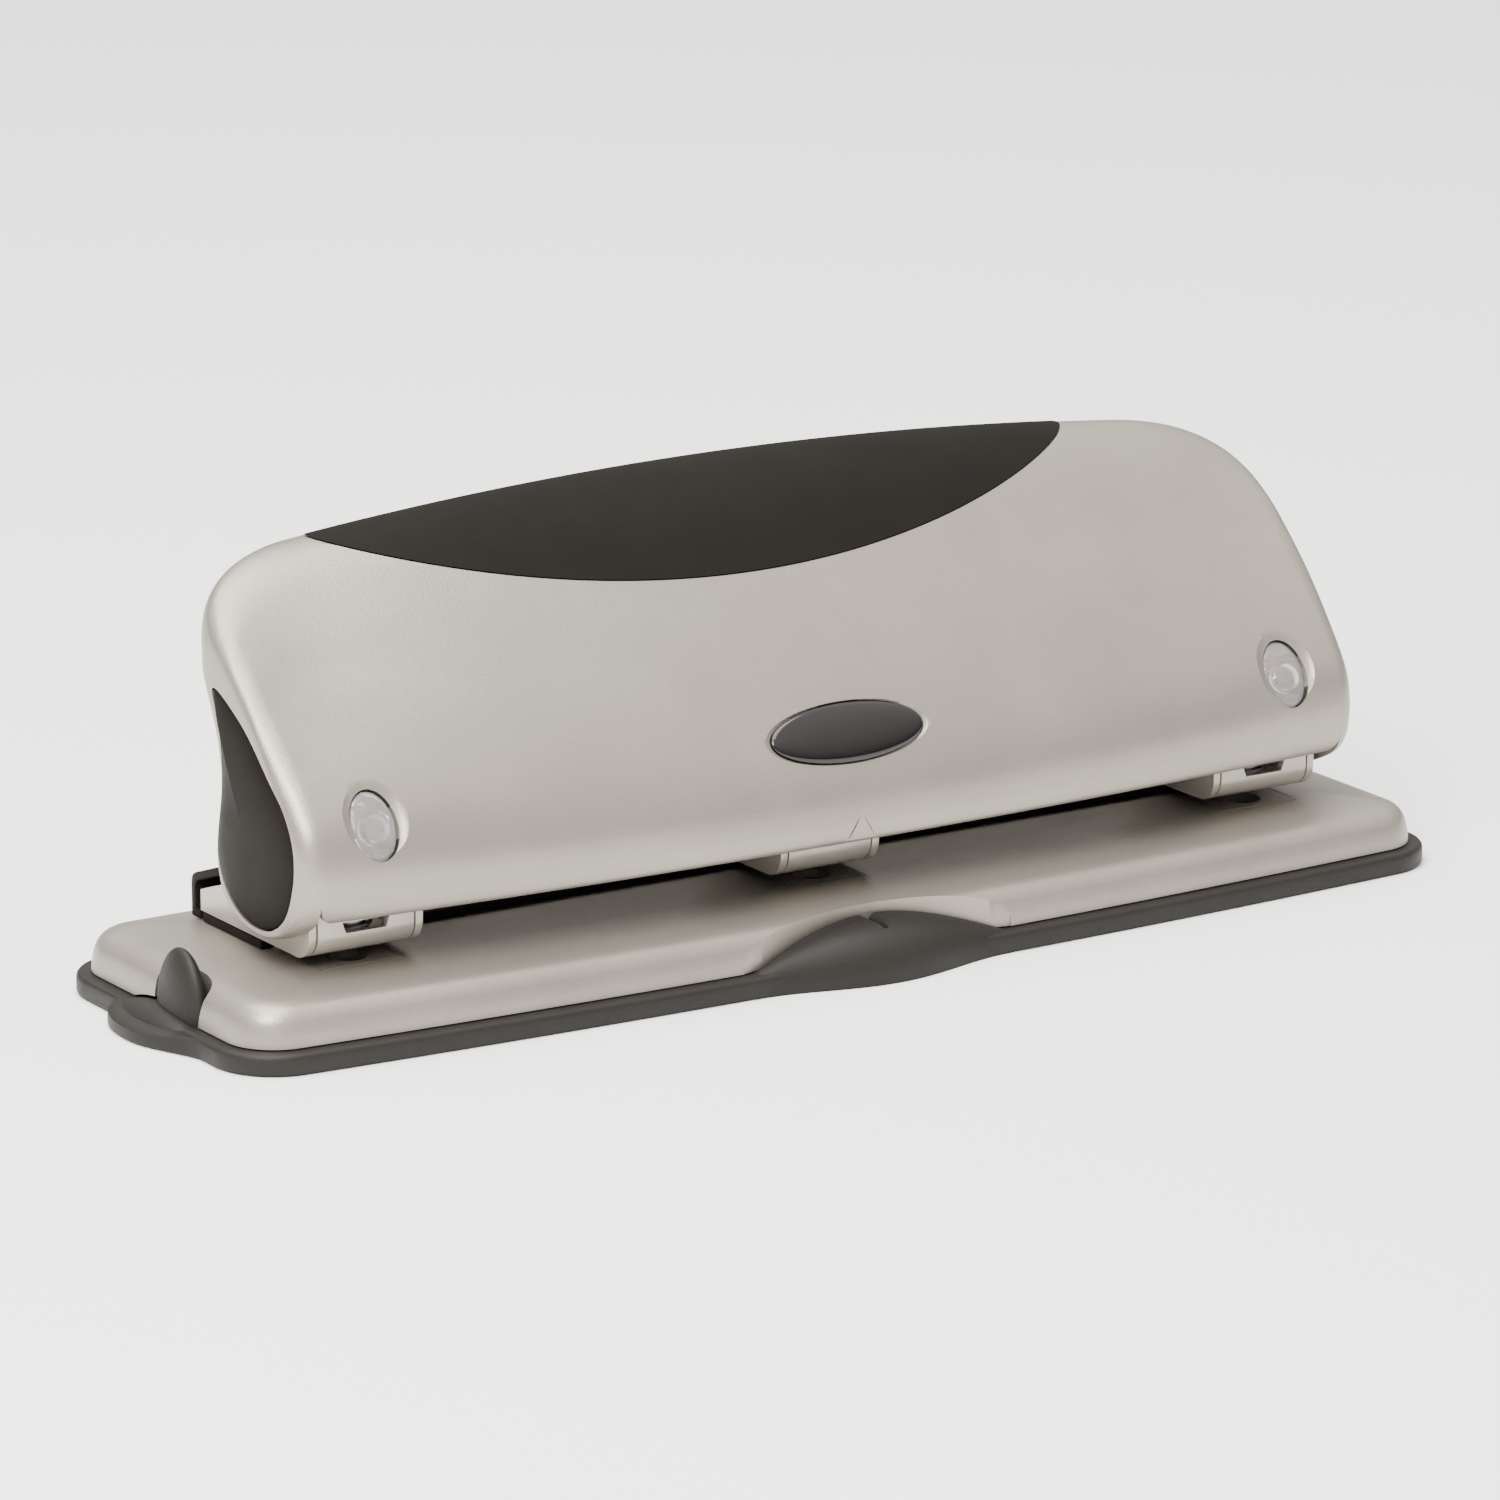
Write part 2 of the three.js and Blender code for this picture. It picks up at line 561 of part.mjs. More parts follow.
function paperStop() {
  let bar = block([-headsHalf, headsHalf], [STOP_Y, STOP_REAR], [coverTop + GAP, slotTop - GAP]);
  for (const head of HEADS) {
    for (const side of [-1, 1]) {
      bar = bar.subtract(prism(circle(head.x + side * SCREW_OFFSET, SCREW_Y, SCREW_R + GAP, 20), 2, 0, 30));
    }
    const toe = head.x + head.side * LEVER_OFFSET;
    if (head.side !== 0) {
      const notch = [toe - LEVER_THICK / 2 - 0.6, toe + LEVER_THICK / 2 + 0.6];
      bar = bar.subtract(block(notch, [STOP_Y - 1, STOP_Y + 5], [0, 30]));
    }
  }
  return bar;
}

const rearLow = coverTop + GAP;
const rearFace = HEAD_REAR + REAR_COVER_DEPTH;
const rearInner = rearFace - REAR_WALL;
const rearOutline = [[HEAD_REAR + GAP, rearLow], [rearFace, rearLow], [rearFace, 22.4],
  [rearFace - 1.4, 23.9], [15.4, 28.4], [14.8, 26.8], [rearFace - 2.6, 22.4], [rearInner, 21.4],
  [rearInner, rearLow + REAR_WALL], [HEAD_REAR + GAP, rearLow + REAR_WALL]];

add('paper_stop_bar', paperStop(), ZINC);
add('rear_cover', prism(rearOutline, 0, -headsHalf, headsHalf), BLACK);

const endFace = HANDLE_HALF - INLAY_DEPTH;
add('pivot_shaft', prism(circle(PIVOT_Y, PIVOT_Z, SHAFT_R), 0, -endFace + GAP, endFace - GAP), STEEL);
for (const [name, side] of [['left', -1], ['right', 1]]) {
  const from = side < 0 ? -headsHalf - GAP - CLIP_THICK : headsHalf + GAP;
  const washer = prism(circle(PIVOT_Y, PIVOT_Z, SHAFT_R + 2.4), 0, from, from + CLIP_THICK);
  const bore = prism(circle(PIVOT_Y, PIVOT_Z, SHAFT_R + RUN), 0, from - 1, from + CLIP_THICK + 1);
  add(`shaft_clip_${name}`, washer.subtract(bore), STEEL);
}

// ---- Handle ----

const OPEN_FROM = 2 * MIDDLE_OUTLINE.length - 2; // first outline point past the rear edge
const mix = (a, b, t) => a.map((p, i) => [p[0] + (b[i][0] - p[0]) * t, p[1] + (b[i][1] - p[1]) * t]);

const roundOff = (t, power) => 1 - (1 - t ** power) ** (1 / power);
const clamp = (value, low, high) => Math.min(Math.max(value, low), high);

// Share of the end fillet at a point: less to the rear, up high and at the foot.
function filletShare([y, z]) {
  const back = clamp((y + 8) / 20, 0, 1);
  const rear = 1 - 0.55 * back * back * (3 - 2 * back);
  return rear * (1 - 0.6 * clamp((z - 45) / 30, 0, 1)) * clamp((z - 20) / 12, 0.2, 1);
}

// Section of the handle at x, moved in by inset. Past an end face's inner side the section
// reaches down over the pivot. An open section runs out of the bottom, for cutting the hollow.
function handleSection(x, inset, open) {
  const far = Math.abs(x);
  const beyond = Math.max(0, far - SHOULDER_START);
  const past = beyond / (HANDLE_HALF - SHOULDER_START);
  const side = Math.min(far / SHOULDER_START, 1) ** 2 + (2 * beyond * (1 - past / 2)) / SHOULDER_START;
  const frontFall = roundOff(past, FRONT_ROUND);
  const rearFall = roundOff(past, REAR_ROUND);
  const outline = mix(MIDDLE_OUTLINE, SIDE_OUTLINE, side).map((p, i) => {
    const ridgeFall = i === RIDGE_POINT ? (frontFall + rearFall) / 2 : rearFall;
    const fall = i < RIDGE_POINT ? frontFall : ridgeFall;
    return [p[0] + (END_OUTLINE[i][0] - p[0]) * fall, p[1] + (END_OUTLINE[i][1] - p[1]) * fall];
  });
  const foot = END_FOOT.map((p) => [p[0], far < HANDLE_HALF - END_WALL ? 28.5 : p[1]]);
  const dense = smooth(outline.concat(foot), 2);
  const edge = Math.max(0, far - (HANDLE_HALF - END_FILLET));
  const fillet = END_FILLET - Math.sqrt(Math.max(0, END_FILLET ** 2 - edge ** 2));
  return dense.map((p, i) => {
    const before = dense[(i + dense.length - 1) % dense.length];
    const after = dense[(i + 1) % dense.length];
    const length = Math.hypot(after[0] - before[0], after[1] - before[1]);
    const inward = [(after[1] - before[1]) / length, -(after[0] - before[0]) / length];
    const move = inset + fillet * filletShare(p);
    const z = p[1] + inward[1] * move;
    return new THREE.Vector3(x, p[0] + inward[0] * move, open && i > OPEN_FROM ? 5 : z);
  });
}

function handleBody(inset, half, open = false) {
  const stations = [];
  for (let i = -6; i <= 6; i += 1) {
    stations.push((i / 6) * SHOULDER_START);
  }
  const foot = HANDLE_HALF - END_WALL;
  for (const share of [0.35, 0.6, 0.8, 0.92, 0.98, 1]) {
    const x = SHOULDER_START + (HANDLE_HALF - SHOULDER_START) * share;
    if (x < half - 0.3 && Math.abs(x - foot) > 0.5) {
      stations.push(x, -x);
    }
  }
  if (half > foot) {
    stations.push(foot - 0.05, 0.05 - foot, foot, -foot);
  }
  stations.push(half, -half);
  stations.sort((a, b) => a - b);
  return loft(stations.map((x) => handleSection(x, inset, open).reverse()));
}

// The frame on the handle's front at x and height z: right, up the slope, outward.
function frontFrame(x, z) {
  const section = handleSection(x, 0, false);
  const at = section.findIndex((p, i) => p.z <= z && section[i + 1].z > z);
  const [low, high] = [section[at], section[at + 1]];
  const share = (z - low.z) / (high.z - low.z);
  const up = new THREE.Vector3(0, high.y - low.y, high.z - low.z).normalize();
  const out = new THREE.Vector3().crossVectors(AXES[0], up);
  return new THREE.Matrix4().makeBasis(AXES[0], up, out).setPosition(x, low.y + (high.y - low.y) * share, z);
}

function oval(a, b, low, high, frame, segments = 28) {
  const disc = new THREE.CylinderGeometry(1, 1, high - low, segments);
  disc.rotateX(Math.PI / 2);
  disc.scale(a, b, 1);
  disc.translate(0, 0, (low + high) / 2);
  return solid(disc.applyMatrix4(frame));
}

function dome(a, b, low, high, frame) {
  const ball = new THREE.SphereGeometry(1, 28, 8);
  ball.rotateX(Math.PI / 2);
  ball.scale(a, b, high - low);
  ball.translate(0, 0, low);
  return solid(ball.applyMatrix4(frame));
}

// Height of the grip's lower edge, off from the grip's middle.
const gripEdge = (off) => GRIP_LOW + GRIP_RISE * (off / GRIP_HALF) ** 2;

function gripRegion(grow) {
  const half = GRIP_HALF + grow;
  const outline = [[140, GRIP_MIDDLE - half], [140, GRIP_MIDDLE + half]];
  for (let i = 0; i <= 20; i += 1) {
    const off = half * (1 - i / 10);
    outline.push([gripEdge(off) - grow, GRIP_MIDDLE + off]);
  }
  return prism(outline.reverse(), 1, -60, 60);
}

function inlayOutline(grow) {
  const dense = smooth(INLAY_OUTLINE, 2);
  return dense.map((p, i) => {
    const before = dense[(i + dense.length - 1) % dense.length];
    const after = dense[(i + 1) % dense.length];
    const length = Math.hypot(after[0] - before[0], after[1] - before[1]);
    return [p[0] + ((after[1] - before[1]) / length) * grow, p[1] - ((after[0] - before[0]) / length) * grow];
  });
}

const windowFrames = [-1, 1].map((side) => frontFrame(side * WINDOW_X, WINDOW_Z));
const badgeFrame = frontFrame(0, BADGE_Z);
const pressScrews = [-PRESS_SCREW_X, PRESS_SCREW_X];

// Rounds the front lip up to an end wall's inner face at x.
function lipCorner(x, side) {
  const centre = x - side * LIP_CORNER;
  const outline = [[0, x], [0, centre]];
  for (let i = 0; i <= 8; i += 1) {
    const angle = (i / 8) * (Math.PI / 2);
    outline.push([LIP_Z + LIP_CORNER * (1 - Math.cos(angle)), centre + side * LIP_CORNER * Math.sin(angle)]);
  }
  return prism(side > 0 ? outline : outline.reverse(), 1, -60, LIP_CORNER_Y);
}

function handleShell() {
  const outer = handleBody(0, HANDLE_HALF);
  let shell = outer.subtract(handleBody(HANDLE_WALL, HANDLE_HALF - END_WALL, true));
  const inside = handleBody(HANDLE_WALL / 2, HANDLE_HALF - END_WALL / 2);
  for (const x of pressScrews) {
    const boss = prism(circle(x, PUNCH_Y, 4.2, 24), 2, PRESS_BAR.high + GAP, 90).intersect(inside);
    shell = shell.add(boss).subtract(prism(circle(x, PUNCH_Y, 1.7, 18), 2, 30, PRESS_BAR.high + 9));
  }
  const innerHalf = HANDLE_HALF - END_WALL;
  shell = shell.subtract(block([-innerHalf, innerHalf], [STOP_Y, 60], [0, REAR_EDGE_Z]));
  shell = shell.subtract(prism(circle(PIVOT_Y, PIVOT_Z, SHAFT_R + RUN), 0, -200, 200));
  for (const [from, to] of [[endFace, 200], [-200, -endFace]]) {
    shell = shell.subtract(prism(inlayOutline(GAP), 0, from, to));
  }
  for (const side of [-1, 1]) {
    shell = shell.subtract(lipCorner(side * innerHalf, side));
  }
  for (const frame of windowFrames) {
    const dish = new THREE.SphereGeometry(1, 24, 14);
    dish.scale(12, 17, 6);
    dish.translate(0, DISH_LIFT, 4.9);
    shell = shell.subtract(solid(dish.applyMatrix4(frame)));
    shell = shell.subtract(oval(LENS[0] + GAP, LENS[1] + GAP, -8, 6, frame));
  }
  shell = shell.subtract(oval(BADGE[0] + GAP, BADGE[1] + GAP, -0.9, 6, badgeFrame));
  const recess = gripRegion(GAP).subtract(handleBody(GRIP_THICK + GAP, HANDLE_HALF - GRIP_THICK - GAP));
  return shell.subtract(recess);
}

add('handle_shell', handleShell(), SILVER);
add('handle_grip', handleBody(0, HANDLE_HALF).intersect(gripRegion(0))
  .subtract(handleBody(GRIP_THICK, HANDLE_HALF - GRIP_THICK)), SOFT_BLACK);

for (const [name, side] of [['left', -1], ['right', 1]]) {
  const low = endFace + GAP;
  const flat = prism(inlayOutline(0), 0, low, HANDLE_HALF);
  const cap = prism(inlayOutline(-1.2), 0, HANDLE_HALF - 0.01, HANDLE_HALF + INLAY_PROUD);
  let inlay = flat.add(cap);
  if (side < 0) {
    inlay = inlay.mirror([1, 0, 0]);
  }
  add(`end_inlay_${name}`, inlay, BLACK);
}

const badgeTop = dome(BADGE[0], BADGE[1], 0.39, 1.5, badgeFrame)
  .subtract(oval(40, 40, -20, 0.38, badgeFrame));
add('name_badge', oval(BADGE[0], BADGE[1], -0.6, 0.4, badgeFrame).add(badgeTop), GLOSS_BLACK);

windowFrames.forEach((frame, i) => {
  const tube = oval(3.2, 3.2, -4.1, -2.5, frame, 24).subtract(oval(2.6, 2.6, -5, -2.6, frame, 24));
  const name = `window_lens_${i === 0 ? 'left' : 'right'}`;
  add(name, oval(LENS[0], LENS[1], -2.6, -0.9, frame).add(tube), CLEAR);
});

let pressBar = block([-PRESS_NOSE.start, PRESS_NOSE.start], [PRESS_BAR.front, PRESS_BAR.rear],
  [PRESS_BAR.low, PRESS_BAR.high]);
pressBar = pressBar.add(block([-PRESS_BAR.half, PRESS_BAR.half], [PRESS_NOSE.front, PRESS_BAR.rear],
  [PRESS_BAR.low, PRESS_NOSE.high]));
for (const x of pressScrews) {
  pressBar = pressBar.subtract(prism(circle(x, PUNCH_Y, 1.8, 18), 2, 30, 90));
}
add('press_bar', pressBar, ZINC);
for (const [name, x] of [['left', pressScrews[0]], ['right', pressScrews[1]]]) {
  const low = PRESS_BAR.low - GAP;
  const profile = [[0, low - 2], [3, low - 2], [3, low], [1.5, low], [1.5, PRESS_BAR.high + 7],
    [0, PRESS_BAR.high + 7.5]];
  add(`press_bar_screw_${name}`, lathe(profile, x, PUNCH_Y, 20), ZINC);
}

export default punch;
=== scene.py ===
"""Desktop three-hole paper punch: the looks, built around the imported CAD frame.

Sizes in this file are millimetres in the CAD frame (X along the punch, Y to its rear, Z up) and
turn into metres where a mesh is made.
"""
import math

import bpy
import numpy as np
from mathutils import Matrix, Vector


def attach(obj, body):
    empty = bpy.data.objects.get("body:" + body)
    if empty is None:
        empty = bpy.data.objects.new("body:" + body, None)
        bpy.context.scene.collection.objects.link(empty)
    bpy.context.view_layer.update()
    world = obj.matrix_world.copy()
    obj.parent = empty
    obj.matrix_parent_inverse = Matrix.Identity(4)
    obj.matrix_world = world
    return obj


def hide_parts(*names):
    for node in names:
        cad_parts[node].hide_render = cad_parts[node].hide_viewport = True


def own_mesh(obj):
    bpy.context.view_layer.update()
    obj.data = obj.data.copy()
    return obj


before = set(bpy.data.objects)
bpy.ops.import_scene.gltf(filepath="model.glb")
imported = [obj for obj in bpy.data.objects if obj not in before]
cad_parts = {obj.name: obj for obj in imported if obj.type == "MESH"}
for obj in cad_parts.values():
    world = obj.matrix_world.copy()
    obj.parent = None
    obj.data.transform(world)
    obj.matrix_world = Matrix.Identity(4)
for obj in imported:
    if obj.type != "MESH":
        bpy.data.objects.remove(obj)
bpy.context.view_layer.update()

MM = 0.001

# ---- Camera ----

CAMERA_AT = (-868.9, -1355.0, 472.9)
CAMERA_FORWARD = Vector((0.51781, 0.81476, -0.26080))
CAMERA_LENS = 196.85


def make_camera():
    data = bpy.data.cameras.new("camera")
    data.lens = CAMERA_LENS
    data.sensor_width = 36
    data.clip_start = 0.05
    data.clip_end = 50
    camera = bpy.data.objects.new("camera", data)
    bpy.context.scene.collection.objects.link(camera)
    camera.location = Vector(CAMERA_AT) * MM
    camera.rotation_euler = CAMERA_FORWARD.to_track_quat("-Z", "Y").to_euler()
    bpy.context.scene.camera = camera


make_camera()

# ---- Driving sizes, as in the CAD ----

GAP = 0.3
RUN = 0.2
TRAY_LENGTH = 288
TRAY_FRONT = -35
TRAY_REAR = 46
TRAY_BOW = 4.4
TRAY_CORNER = 14
TRAY_FLOOR = 1.8
RIM_HEIGHT = 4.4
RIM_WIDTH = 5.5
LOBE_Y = 3.5
LOBE_REAR = 15
LOBE_FRONT = 23
LOBE_REACH = 6
MOUND_INSET = 2
MOUND_Y = 4
MOUND_RADII = (6, 17, 6.2)
FIN_INSET = 4.5
FIN_Y = -0.6
FIN_RADII = (3.3, 8.6, 13)
FIN_CENTRE_Z = 5.4
EYE_HALF = 31
EYE_HEIGHT = 11.2
EYE_FRONT = 5
EYE_REAR = 8
HINGE_INSET = 2.5
HINGE_Z = 2.7
HINGE_PIN_R = 0.9
HINGE_PIN_LENGTH = 52
TONGUE_Y = 16
TONGUE_WIDTH = 7.4
TONGUE_R = 1.6
COVER_INSET = 3
COVER_WALL = 1.8
COVER_TOP_WALL = 3.8
COVER_STEPS = [(0, 0), (3, 0.4), (5.5, 1.2), (7.2, 2.7), (8.2, 5), (8.8, 8.5), (9.3, 13), (9.7, 17.5)]
PITCH = 107.95
PUNCH_Y = -10.8
PIN_R = 3.55
PAPER_SLOT = 2.3
HEAD_METAL = 1.8
OUTER_HEAD_WIDTH = 22
MIDDLE_HEAD_WIDTH = 20
HEAD_FRONT = -18
HEAD_REAR = 25.8
HEAD_BEND = 5
HEAD_WALL_TOP = 37
HEAD_SLOT = (10, 2.2, 21.4)
STOP_Y = 1.5
SCREW_R = 1.8
SCREW_Y = 20
SCREW_OFFSET = 6
DIE_SIZE = (18, 12, 1.7)
REAR_COVER_DEPTH = 4
REAR_WALL = 1.8
PIVOT_Y = 3.2
PIVOT_Z = 33
SHAFT_R = 3
CLIP_THICK = 1
PIN_FOOT = 0.2
PIN_TOP = 45
CLIP_Z = 33.5
SPRING_R = 4.35
WIRE_R = 0.5
SPRING_TURNS = 5
HANDLE_HALF = 126.2
SHOULDER_START = 100
HANDLE_WALL = 2.6
END_WALL = 4
END_FILLET = 4.8
LIP_Z = 25.6
LIP_CORNER = 4.5
LIP_CORNER_Y = -14
RIDGE_POINT = 9
FRONT_ROUND = 2.3
REAR_ROUND = 1.6
REAR_EDGE_Z = 47
GRIP_MIDDLE = -8
GRIP_HALF = 101
GRIP_THICK = 1.2
GRIP_LOW = 77.05
GRIP_RISE = 17.5
GRIP_PROUD = 0.2
INLAY_DEPTH = 2
INLAY_DOME = 1.5
WINDOW_X = 109
WINDOW_Z = 44.6
LENS = (4.9, 7.1)
DISH_LIFT = 1.2
BADGE = (18, 6.25)
BADGE_Z = 47.3
PRESS_SCREW_X = 60
PRESS_HIGH = 50.5
PRESS_LOW = 45.5
LEVER_OFFSET = 8
LEVER_THICK = 2.2
FLAG_Y = -17.9
FLAG_Z = 43.5
FLAG_R = 2.8
FLAG_HALF_THICK = 0.5

MIDDLE_OUTLINE = [
    (-29.6, 26), (-30.6, 32), (-28.9, 39), (-24.3, 47.3), (-13.5, 62.5), (0, 78.5),
    (9, 87.5), (17, 92.8), (24, 95), (30.5, 93.6), (34, 89), (32.5, 83),
    (25, 73), (18, 63.5), (13, 55), (10.8, 47), (10.2, 39), (10.3, 31),
]
SIDE_OUTLINE = [
    (-25.8, 26), (-27.6, 32), (-27, 38.5), (-23.6, 46.5), (-12.5, 59.5), (0, 71.8),
    (9.5, 81), (17, 87), (24, 89.8), (29.8, 88.2), (32.8, 84), (31, 78.5),
    (23.5, 69.5), (17, 61), (12.5, 53), (10.5, 46), (10, 39), (10.3, 31),
]
END_OUTLINE = [
    (-21.8, 26), (-25.4, 31), (-26, 36.5), (-25.2, 42), (-21, 49.2), (-12, 59.8),
    (-4.5, 66), (1.5, 70), (6, 71.8), (9.8, 71.6), (12, 69.5), (12.2, 66.5),
    (11, 62.5), (9.2, 57.5), (8.2, 52), (8.3, 47), (9.6, 40.5), (10.5, 34),
]
END_FOOT = [(9.2, 28.3), (5, 23.6), (-3, 20.5), (-11, 20.2), (-17, 22.3)]
INLAY_OUTLINE = [
    (9.3, 66.5), (-1.7, 61.6), (-11, 53.8), (-18, 47), (-21.3, 40.5), (-21.2, 33.5),
    (-18, 26.6), (-12.4, 22.9), (-5, 22.2), (1.2, 24), (5.8, 28), (8, 33.5),
    (7.8, 39.5), (6.4, 46), (5.9, 53), (7.2, 60.5),
]

cover_low = RIM_HEIGHT + GAP
cover_top = cover_low + COVER_STEPS[-1][0]
slot_top = cover_top + PAPER_SLOT
plate_top = slot_top + HEAD_METAL
hinge_x = TRAY_LENGTH / 2 - HINGE_INSET
tray_front_middle = TRAY_FRONT - TRAY_BOW
end_face = HANDLE_HALF - INLAY_DEPTH
heads_half = PITCH + OUTER_HEAD_WIDTH / 2 + HEAD_METAL
HEADS = [
    ("left", -PITCH, OUTER_HEAD_WIDTH, -1),
    ("middle", 0, MIDDLE_HEAD_WIDTH, 0),
    ("right", PITCH, OUTER_HEAD_WIDTH, 1),
]

# ---- Materials ----


def material(name, color, roughness, metallic=0.0, tint=0.06, grain=900.0, bump=0.0, spread=0.05, **extra):
    """A principled material with cloudy colour change, fine roughness change and grain bump."""
    made = bpy.data.materials.new(name)
    made.use_nodes = True
    nodes = made.node_tree.nodes
    links = made.node_tree.links
    shader = nodes["Principled BSDF"]
    shader.inputs["Metallic"].default_value = metallic
    for key, value in extra.items():
        shader.inputs[key.replace("_", " ")].default_value = value
    place = nodes.new("ShaderNodeTexCoord").outputs["Object"]

    def noise(scale, detail):
        node = nodes.new("ShaderNodeTexNoise")
        node.inputs["Scale"].default_value = scale
        node.inputs["Detail"].default_value = detail
        links.new(place, node.inputs["Vector"])
        return node.outputs["Fac"]

    def ramp(value, stops):
        node = nodes.new("ShaderNodeValToRGB")
        for element, (position, shade) in zip(node.color_ramp.elements, stops):
            element.position = position
            element.color = shade
        links.new(value, node.inputs["Fac"])
        return node.outputs["Color"]

    low = [c * (1 - tint) for c in color] + [1]
    high = [min(1, c * (1 + tint)) for c in color] + [1]
    cloud = ramp(noise(38, 4), [(0.3, low), (0.7, high)])
    speck = ramp(noise(grain, 2), [(0.3, [1 - tint] * 3 + [1]), (0.7, [1 + tint * 0.3] * 3 + [1])])
    mixed = nodes.new("ShaderNodeMix")
    mixed.data_type = "RGBA"
    mixed.blend_type = "MULTIPLY"
    mixed.inputs["Factor"].default_value = 1
    links.new(cloud, mixed.inputs["A"])
    links.new(speck, mixed.inputs["B"])
    links.new(mixed.outputs["Result"], shader.inputs["Base Color"])
    levels = nodes.new("ShaderNodeMapRange")
    levels.inputs["To Min"].default_value = roughness - spread
    levels.inputs["To Max"].default_value = roughness + spread
    links.new(noise(160, 5), levels.inputs["Value"])
    links.new(levels.outputs["Result"], shader.inputs["Roughness"])
    if bump:
        relief = nodes.new("ShaderNodeBump")
        relief.inputs["Strength"].default_value = bump
        relief.inputs["Distance"].default_value = 0.0001
        links.new(noise(grain, 3), relief.inputs["Height"])
        links.new(relief.outputs["Normal"], shader.inputs["Normal"])
    return made


MATERIALS = {
    "silver_paint": material("silver_paint", (0.30, 0.27, 0.233), 0.38, 0.62, 0.055, 2200, 0.5),
    # Near-black finish used as painted shade on the handle's inner and downward faces
    "painted_shade_inside": material("painted_shade_inside", (0.03, 0.028, 0.025), 0.6, 0, 0.1, 900, 0.2, Specular_IOR_Level=0.2),
    # Lighter, more metallic copy of the silver paint: painted light for the head frames, which sit in the
    # handle's shade
    "painted_light_silver": material("painted_light_silver", (0.42, 0.39, 0.34), 0.36, 0.5, 0.05, 1600, 0.15),
    "black_plastic": material("black_plastic", (0.0085, 0.0068, 0.005), 0.55, 0, 0.12, 1800, 0.3,
                              Specular_IOR_Level=0.08),
    "grip_rubber": material("grip_rubber", (0.0068, 0.0058, 0.0046), 0.7, 0, 0.12, 1800, 0.3,
                            Specular_IOR_Level=0.09),
    "soft_plastic": material("soft_plastic", (0.0115, 0.0101, 0.0085), 0.55, 0, 0.12, 1500, 0.3,
                             Specular_IOR_Level=0.27),
    "gloss_black": material("gloss_black", (0.005, 0.0045, 0.004), 0.10, 0, 0.1, 900, 0.0, 0.03),
    "steel": material("steel", (0.50, 0.50, 0.49), 0.32, 0.95, 0.06, 1200, 0.1),
    "spring_steel": material("spring_steel", (0.35, 0.35, 0.34), 0.35, 0.95, 0.08, 1200, 0.1),
    "zinc": material("zinc", (0.60, 0.60, 0.56), 0.38, 0.9, 0.08, 700, 0.15),
    "clear_plastic": material("clear_plastic", (0.93, 0.93, 0.91), 0.06, 0, 0.03, 900, 0.0, 0.03,
                              Transmission_Weight=0.88, IOR=1.3, Specular_IOR_Level=0.3),
    "red_plastic": material("red_plastic", (0.17, 0.030, 0.022), 0.45, 0, 0.1, 900, 0.1),
}

# ---- Meshes ----

AXES = np.eye(3)


def new_object(name, points, faces):
    mesh = bpy.data.meshes.new(name)
    mesh.from_pydata([tuple(p) for p in np.asarray(points, float) * MM], [], faces)
    mesh.update()
    made = bpy.data.objects.new(name, mesh)
    bpy.context.scene.collection.objects.link(made)
    return made


def turn_out(item):
    """Turns the mesh inside out when its volume is negative."""
    mesh = item.data
    co = np.array([v.co for v in mesh.vertices])
    mesh.calc_loop_triangles()
    tri = np.array([t.vertices for t in mesh.loop_triangles])
    volume = np.einsum("ij,ij->i", co[tri[:, 0]], np.cross(co[tri[:, 1]], co[tri[:, 2]])).sum()
    if volume < 0:
        mesh.flip_normals()
    return item


def loft(name, loops, closed=False):
    """A body through loops of points of one count, with flat ends unless the loops close."""
    loops = [np.asarray(loop, float) for loop in loops]
    count = len(loops[0])
    faces = []
    last = len(loops) if closed else len(loops) - 1
    for k in range(last):
        base = k * count
        above = ((k + 1) % len(loops)) * count
        for i in range(count):
            j = (i + 1) % count
            faces.append((base + i, base + j, above + j, above + i))
    if not closed:
        faces.append(tuple(range(count))[::-1])
        faces.append(tuple(range((len(loops) - 1) * count, len(loops) * count)))
    return turn_out(new_object(name, np.concatenate(loops), faces))


def prism(name, outline, axis, start, end):
    """An outline carried along axis 0, 1 or 2; its numbers run along the next two axes in turn."""
    outline = np.asarray(outline, float)
    loops = []
    for level in (start, end):
        loop = np.zeros((len(outline), 3))
        loop[:, axis] = level
        loop[:, (axis + 1) % 3] = outline[:, 0]
        loop[:, (axis + 2) % 3] = outline[:, 1]
        loops.append(loop)
    return loft(name, loops)


def block(name, x, y, z):
    return prism(name, [(x[0], y[0]), (x[1], y[0]), (x[1], y[1]), (x[0], y[1])], 2, z[0], z[1])


def circle(u, v, radius, segments=72):
    angles = np.arange(segments) / segments * 2 * math.pi
    return np.stack([u + radius * np.cos(angles), v + radius * np.sin(angles)], 1)


def lathe(name, profile, x, y, segments=72):
    """A turned body on a vertical axis. The profile starts and ends on the axis, or closes."""
    profile = list(profile)
    closed = profile[0] == profile[-1]
    if closed:
        profile = profile[:-1]
    loops = []
    for radius, z in profile:
        ring = circle(x, y, max(radius, 0.01), segments)
        loops.append(np.column_stack([ring, np.full(segments, z)]))
    return loft(name, loops, closed)


